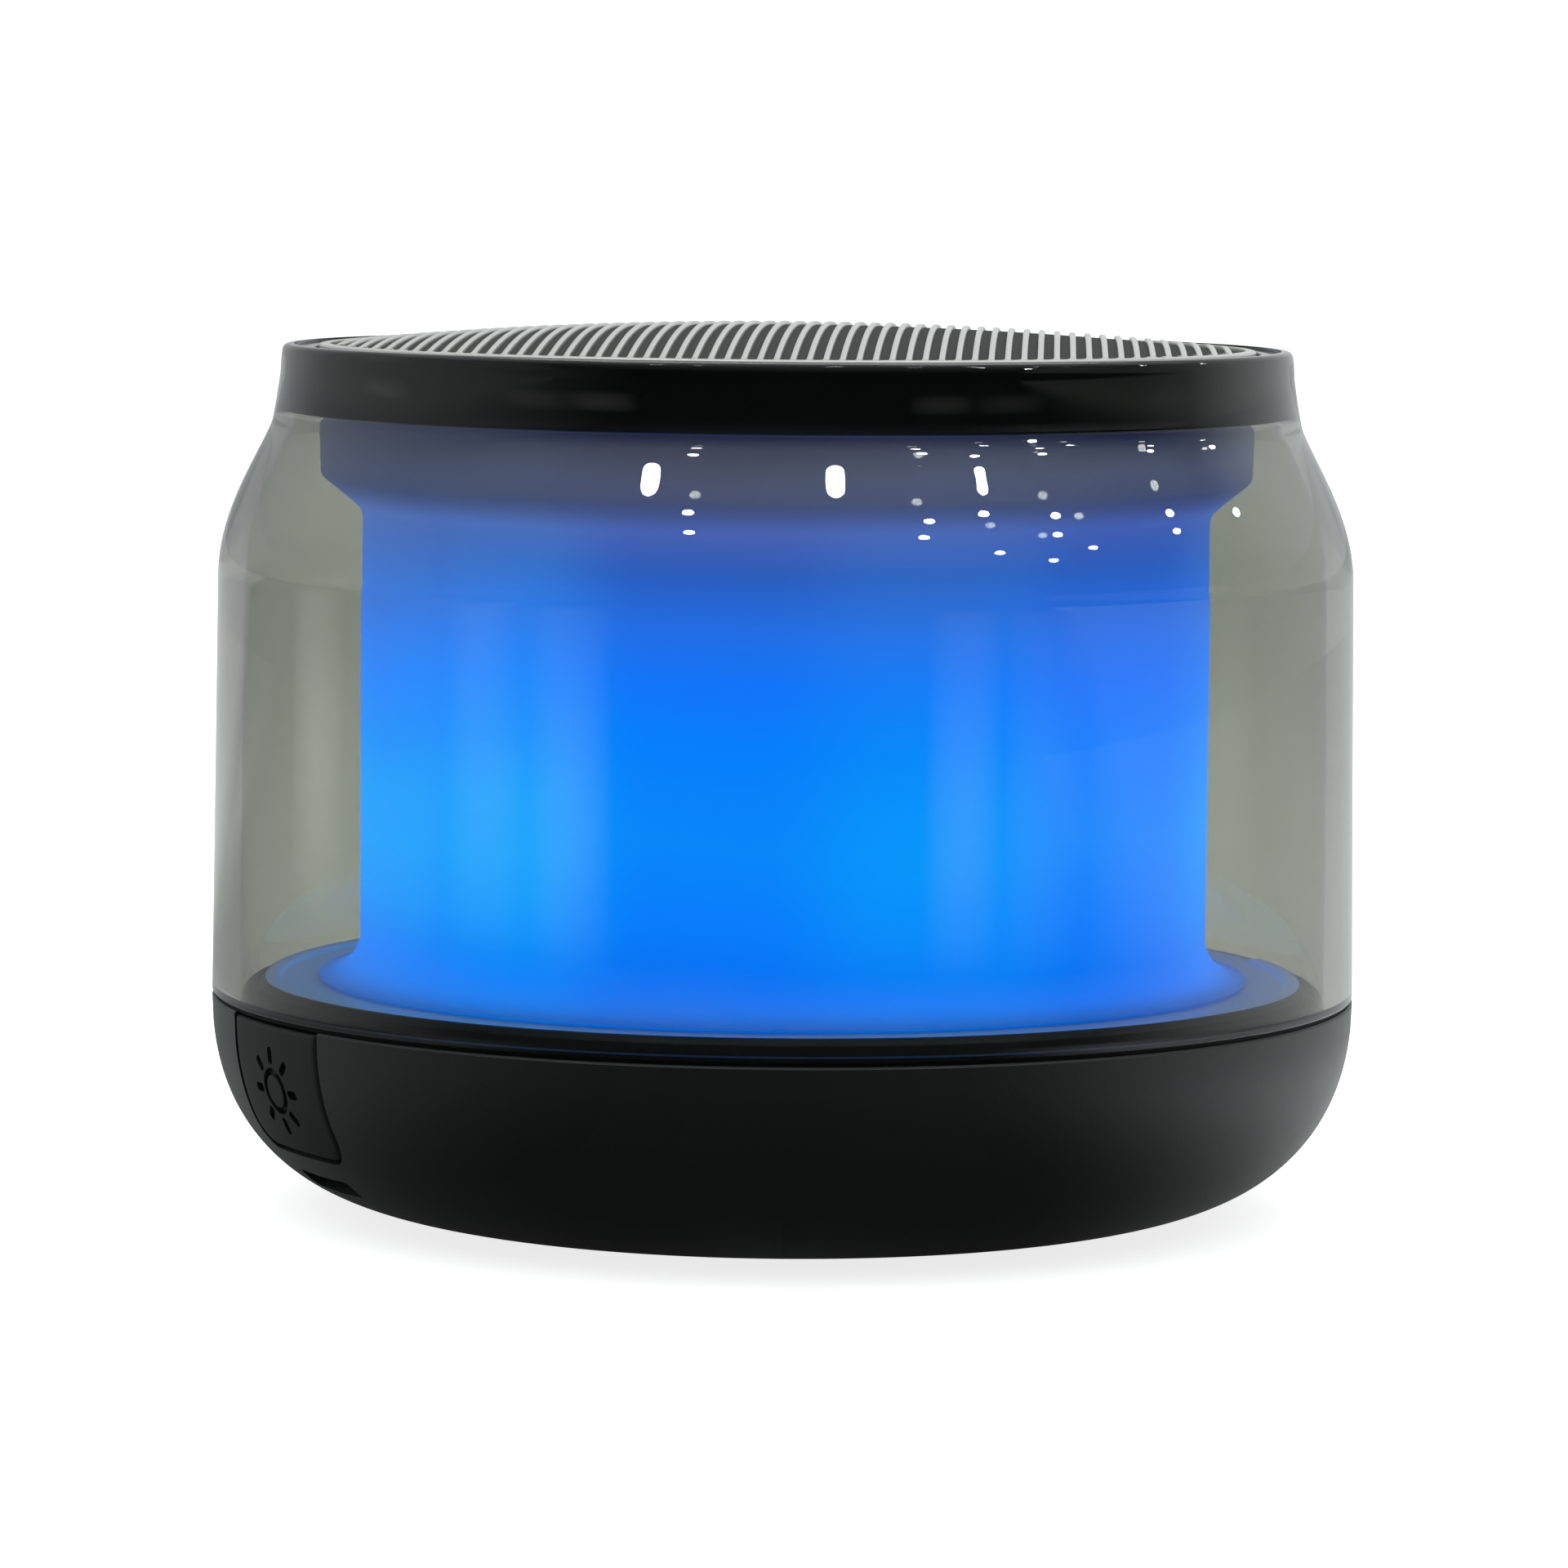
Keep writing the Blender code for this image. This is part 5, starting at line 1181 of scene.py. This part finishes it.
# ---- stage --------------------------------------------------------------------------------------
class SPEAKER_OT_stage(bpy.types.Operator):
    """Set the pale floor, the soft lights, the surroundings and the camera"""
    bl_idname = "speaker.stage"
    bl_label = "Stage"

    def seen_straight(self, tree):
        """1 where the eye sees a thing straight or through clear pieces, 0 in reflections and as light."""
        path = add_node(tree, "ShaderNodeLightPath")
        bounces = calculate(tree, "ADD", path.outputs["Diffuse Depth"], path.outputs["Glossy Depth"])
        return calculate(tree, "LESS_THAN", bounces, 0.5)

    def brighter_towards(self, tree, where, toward, start, end, most):
        """0 before one distance along a direction, rising to the most at another."""
        along = add_node(tree, "ShaderNodeVectorMath", {0: where, 1: toward}, operation="DOT_PRODUCT")
        return eased(tree, along.outputs[1], start, end, high=most)

    def floor_light(self, tree, spot):
        """How pale the floor is in reflections and as light: dark in front, paler beside and behind.

        The near pair of patches fades out round the speaker, so that it lights little but the base.
        """
        far = [self.brighter_towards(tree, spot, toward, 0.0, 0.15, most)
               for toward, most in (((0.6, 0.8, 0), 0.4), ((-0.6, 0.8, 0), 0.22))]
        near = [self.brighter_towards(tree, spot, toward, 0.0, 0.06, most)
                for toward, most in (((0.85, 0.5, 0), 0.75), ((-0.85, 0.5, 0), 0.22))]
        away = add_node(tree, "ShaderNodeVectorMath", {0: spot}, operation="LENGTH").outputs[1]
        close = add_node(tree, "ShaderNodeMapRange", {"Value": away, "From Min": 0.08, "From Max": 0.16,
                                                      "To Min": 1.0, "To Max": 0.0}).outputs["Result"]
        side = calculate(tree, "MULTIPLY", calculate(tree, "MAXIMUM", near[0], near[1]), close)
        side = calculate(tree, "MAXIMUM", side, calculate(tree, "MAXIMUM", far[0], far[1]))
        return calculate(tree, "ADD", side, 0.03)

    def add_floor(self, context):
        """A pale floor that glows a little, so that it runs into the backdrop."""
        bm = bmesh.new()
        bmesh.ops.create_grid(bm, x_segments=2, y_segments=2, size=12.0)
        mesh = bpy.data.meshes.new("studio_floor")
        bm.to_mesh(mesh)
        bm.free()
        floor = bpy.data.objects.new("studio_floor", mesh)
        context.scene.collection.objects.link(floor)
        material = bpy.data.materials.new("Pale floor")
        material.use_nodes = True
        tree = material.node_tree
        shader = tree.nodes["Principled BSDF"]
        shader.inputs["Roughness"].default_value = 0.9
        shader.inputs["Specular IOR Level"].default_value = 0.0
        shader.inputs["Emission Color"].default_value = (1, 1, 1, 1)
        spot = add_node(tree, "ShaderNodeTexCoord").outputs["Object"]
        seen = self.seen_straight(tree)
        side = self.floor_light(tree, spot)
        grey = add_node(tree, "ShaderNodeCombineColor", {0: side, 1: side, 2: side}).outputs[0]
        tint = mix_colours(tree, seen, grey, (0.9, 0.9, 0.9, 1))
        tree.links.new(tint, shader.inputs["Base Color"])
        glow = add_node(tree, "ShaderNodeMix", {0: seen, 2: calculate(tree, "MULTIPLY", side, 0.7), 3: 0.8})
        tree.links.new(glow.outputs[0], shader.inputs["Emission Strength"])
        mesh.materials.append(material)

    def add_surroundings(self, context):
        """White backdrop; as light it is bright overhead, behind and at the sides, and dark in front."""
        world = bpy.data.worlds.new("Studio")
        context.scene.world = world
        world.use_nodes = True
        tree = world.node_tree
        background = tree.nodes["Background"]
        way = add_node(tree, "ShaderNodeTexCoord").outputs["Generated"]
        back = self.brighter_towards(tree, way, (0, 1, 0), -0.25, 0.85, 0.45)
        left = self.brighter_towards(tree, way, (-0.8, 0.6, 0), -0.1, 1.0, 0.4)
        right = self.brighter_towards(tree, way, (0.5, 0.87, 0), 0.5, 1.0, 0.7)
        above = self.brighter_towards(tree, way, (0, 0, 1), 0.25, 0.9, 0.85)
        lit = calculate(tree, "MAXIMUM", calculate(tree, "MAXIMUM", back, left),
                        calculate(tree, "MAXIMUM", right, above))
        light = mix_colours(tree, lit, (0.015, 0.017, 0.018, 1), (0.95, 0.98, 1.0, 1))
        shown = mix_colours(tree, self.seen_straight(tree), light, (1.02, 1.02, 1.02, 1))
        tree.links.new(shown, background.inputs["Color"])

    def soften(self, data):
        """Let a lamp fade out towards its edges."""
        data.use_nodes = True
        tree = data.node_tree
        place = add_node(tree, "ShaderNodeNewGeometry")
        parts = add_node(tree, "ShaderNodeSeparateXYZ", {0: place.outputs["Parametric"]}).outputs
        inside = [calculate(tree, "MULTIPLY", part, calculate(tree, "SUBTRACT", 1.0, part))
                  for part in parts[:2]]
        bright = calculate(tree, "MULTIPLY", calculate(tree, "MULTIPLY", inside[0], inside[1]), 16.0)
        tree.links.new(bright, tree.nodes["Emission"].inputs["Strength"])

    def add_lamp(self, context, name, heading, height, distance, size, radiance, shape="RECTANGLE"):
        """A flat lamp that faces the speaker's middle."""
        turn, rise = math.radians(heading), math.radians(height)
        away = Vector((math.sin(turn) * math.cos(rise), -math.cos(turn) * math.cos(rise), math.sin(rise)))
        data = bpy.data.lights.new(name, "AREA")
        data.shape = shape
        data.size, data.size_y = size
        data.energy = radiance * math.pi * size[0] * size[1]
        lamp = bpy.data.objects.new(name, data)
        lamp.location = Vector((0, 0, 35 * MM)) + away * distance
        lamp.rotation_euler = away.to_track_quat("Z", "Y").to_euler()
        context.scene.collection.objects.link(lamp)
        return lamp

    def add_cards(self, context):
        """Soft cards close round the speaker, which only mirror in it."""
        for heading, width, radiance in CARDS:
            card = self.add_lamp(context, f"card_{heading}", heading, CARD_HEIGHT, CARD_DISTANCE,
                                 (width, CARD_TALLNESS), radiance)
            card.visible_diffuse = False
            self.soften(card.data)

    def add_ceiling_lamps(self, context):
        """Bright lamps overhead, which only sparkle in the speaker."""
        radiance = context.scene.speaker_studio.ceiling
        for kind, places, size in (("ceiling_lamp_{0}", LARGE_LAMPS, LARGE_LAMP_SIZE),
                                   ("spot_{0}_{1}", SMALL_LAMPS, SMALL_LAMP_SIZE)):
            for place in places:
                lamp = self.add_lamp(context, kind.format(*place), *place, CEILING_DISTANCE, size, radiance,
                                     "ELLIPSE")
                lamp.visible_diffuse = False

    def add_camera(self, context):
        """A camera in front, a little above the speaker, looking slightly down."""
        studio = context.scene.speaker_studio
        data = bpy.data.cameras.new("camera")
        data.sensor_width = 36.0
        data.angle = studio.camera_view
        data.clip_start = 10 * MM
        camera = bpy.data.objects.new("camera", data)
        camera.matrix_world = (Matrix.Translation((0, -studio.camera_back, studio.camera_height))
                               @ Matrix.Rotation(math.pi / 2 - studio.camera_pitch, 4, "X")
                               @ Matrix.Rotation(studio.camera_roll, 4, "Z"))
        context.scene.collection.objects.link(camera)
        context.scene.camera = camera

    def execute(self, context):
        context.scene.view_settings.view_transform = "Standard"
        self.add_floor(context)
        self.add_surroundings(context)
        self.add_lamp(context, "softbox", 175, 75, 0.9, (0.8, 0.8), context.scene.speaker_studio.softbox)
        self.add_cards(context)
        self.add_ceiling_lamps(context)
        self.add_camera(context)
        return {"FINISHED"}


STEPS = [SPEAKER_OT_stage, SPEAKER_OT_clear_shell, SPEAKER_OT_collar, SPEAKER_OT_grille, SPEAKER_OT_column,
         SPEAKER_OT_floor_plate, SPEAKER_OT_base, SPEAKER_OT_keys, SPEAKER_OT_ports, SPEAKER_OT_underside,
         SPEAKER_OT_inner_parts]


class SPEAKER_PT_pieces(bpy.types.Panel):
    """Lists the steps that build the speaker"""
    bl_label = "Speaker"
    bl_idname = "SPEAKER_PT_pieces"
    bl_space_type = "VIEW_3D"
    bl_region_type = "UI"
    bl_category = "Speaker"

    def draw(self, context):
        for step in STEPS:
            self.layout.operator(step.bl_idname)


CLASSES = [SpeakerShape, SpeakerFinish, SpeakerStudio] + STEPS + [SPEAKER_PT_pieces]


def register():
    for item in CLASSES:
        bpy.utils.register_class(item)
    bpy.types.Scene.speaker_shape = PointerProperty(type=SpeakerShape)
    bpy.types.Scene.speaker_finish = PointerProperty(type=SpeakerFinish)
    bpy.types.Scene.speaker_studio = PointerProperty(type=SpeakerStudio)


def unregister():
    del bpy.types.Scene.speaker_studio
    del bpy.types.Scene.speaker_finish
    del bpy.types.Scene.speaker_shape
    for item in reversed(CLASSES):
        bpy.utils.unregister_class(item)


def main():
    """Build every piece in order."""
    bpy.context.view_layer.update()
    register()
    for step in STEPS:
        category, name = step.bl_idname.split(".")
        getattr(getattr(bpy.ops, category), name)()


if __name__ == "__main__":
    main()
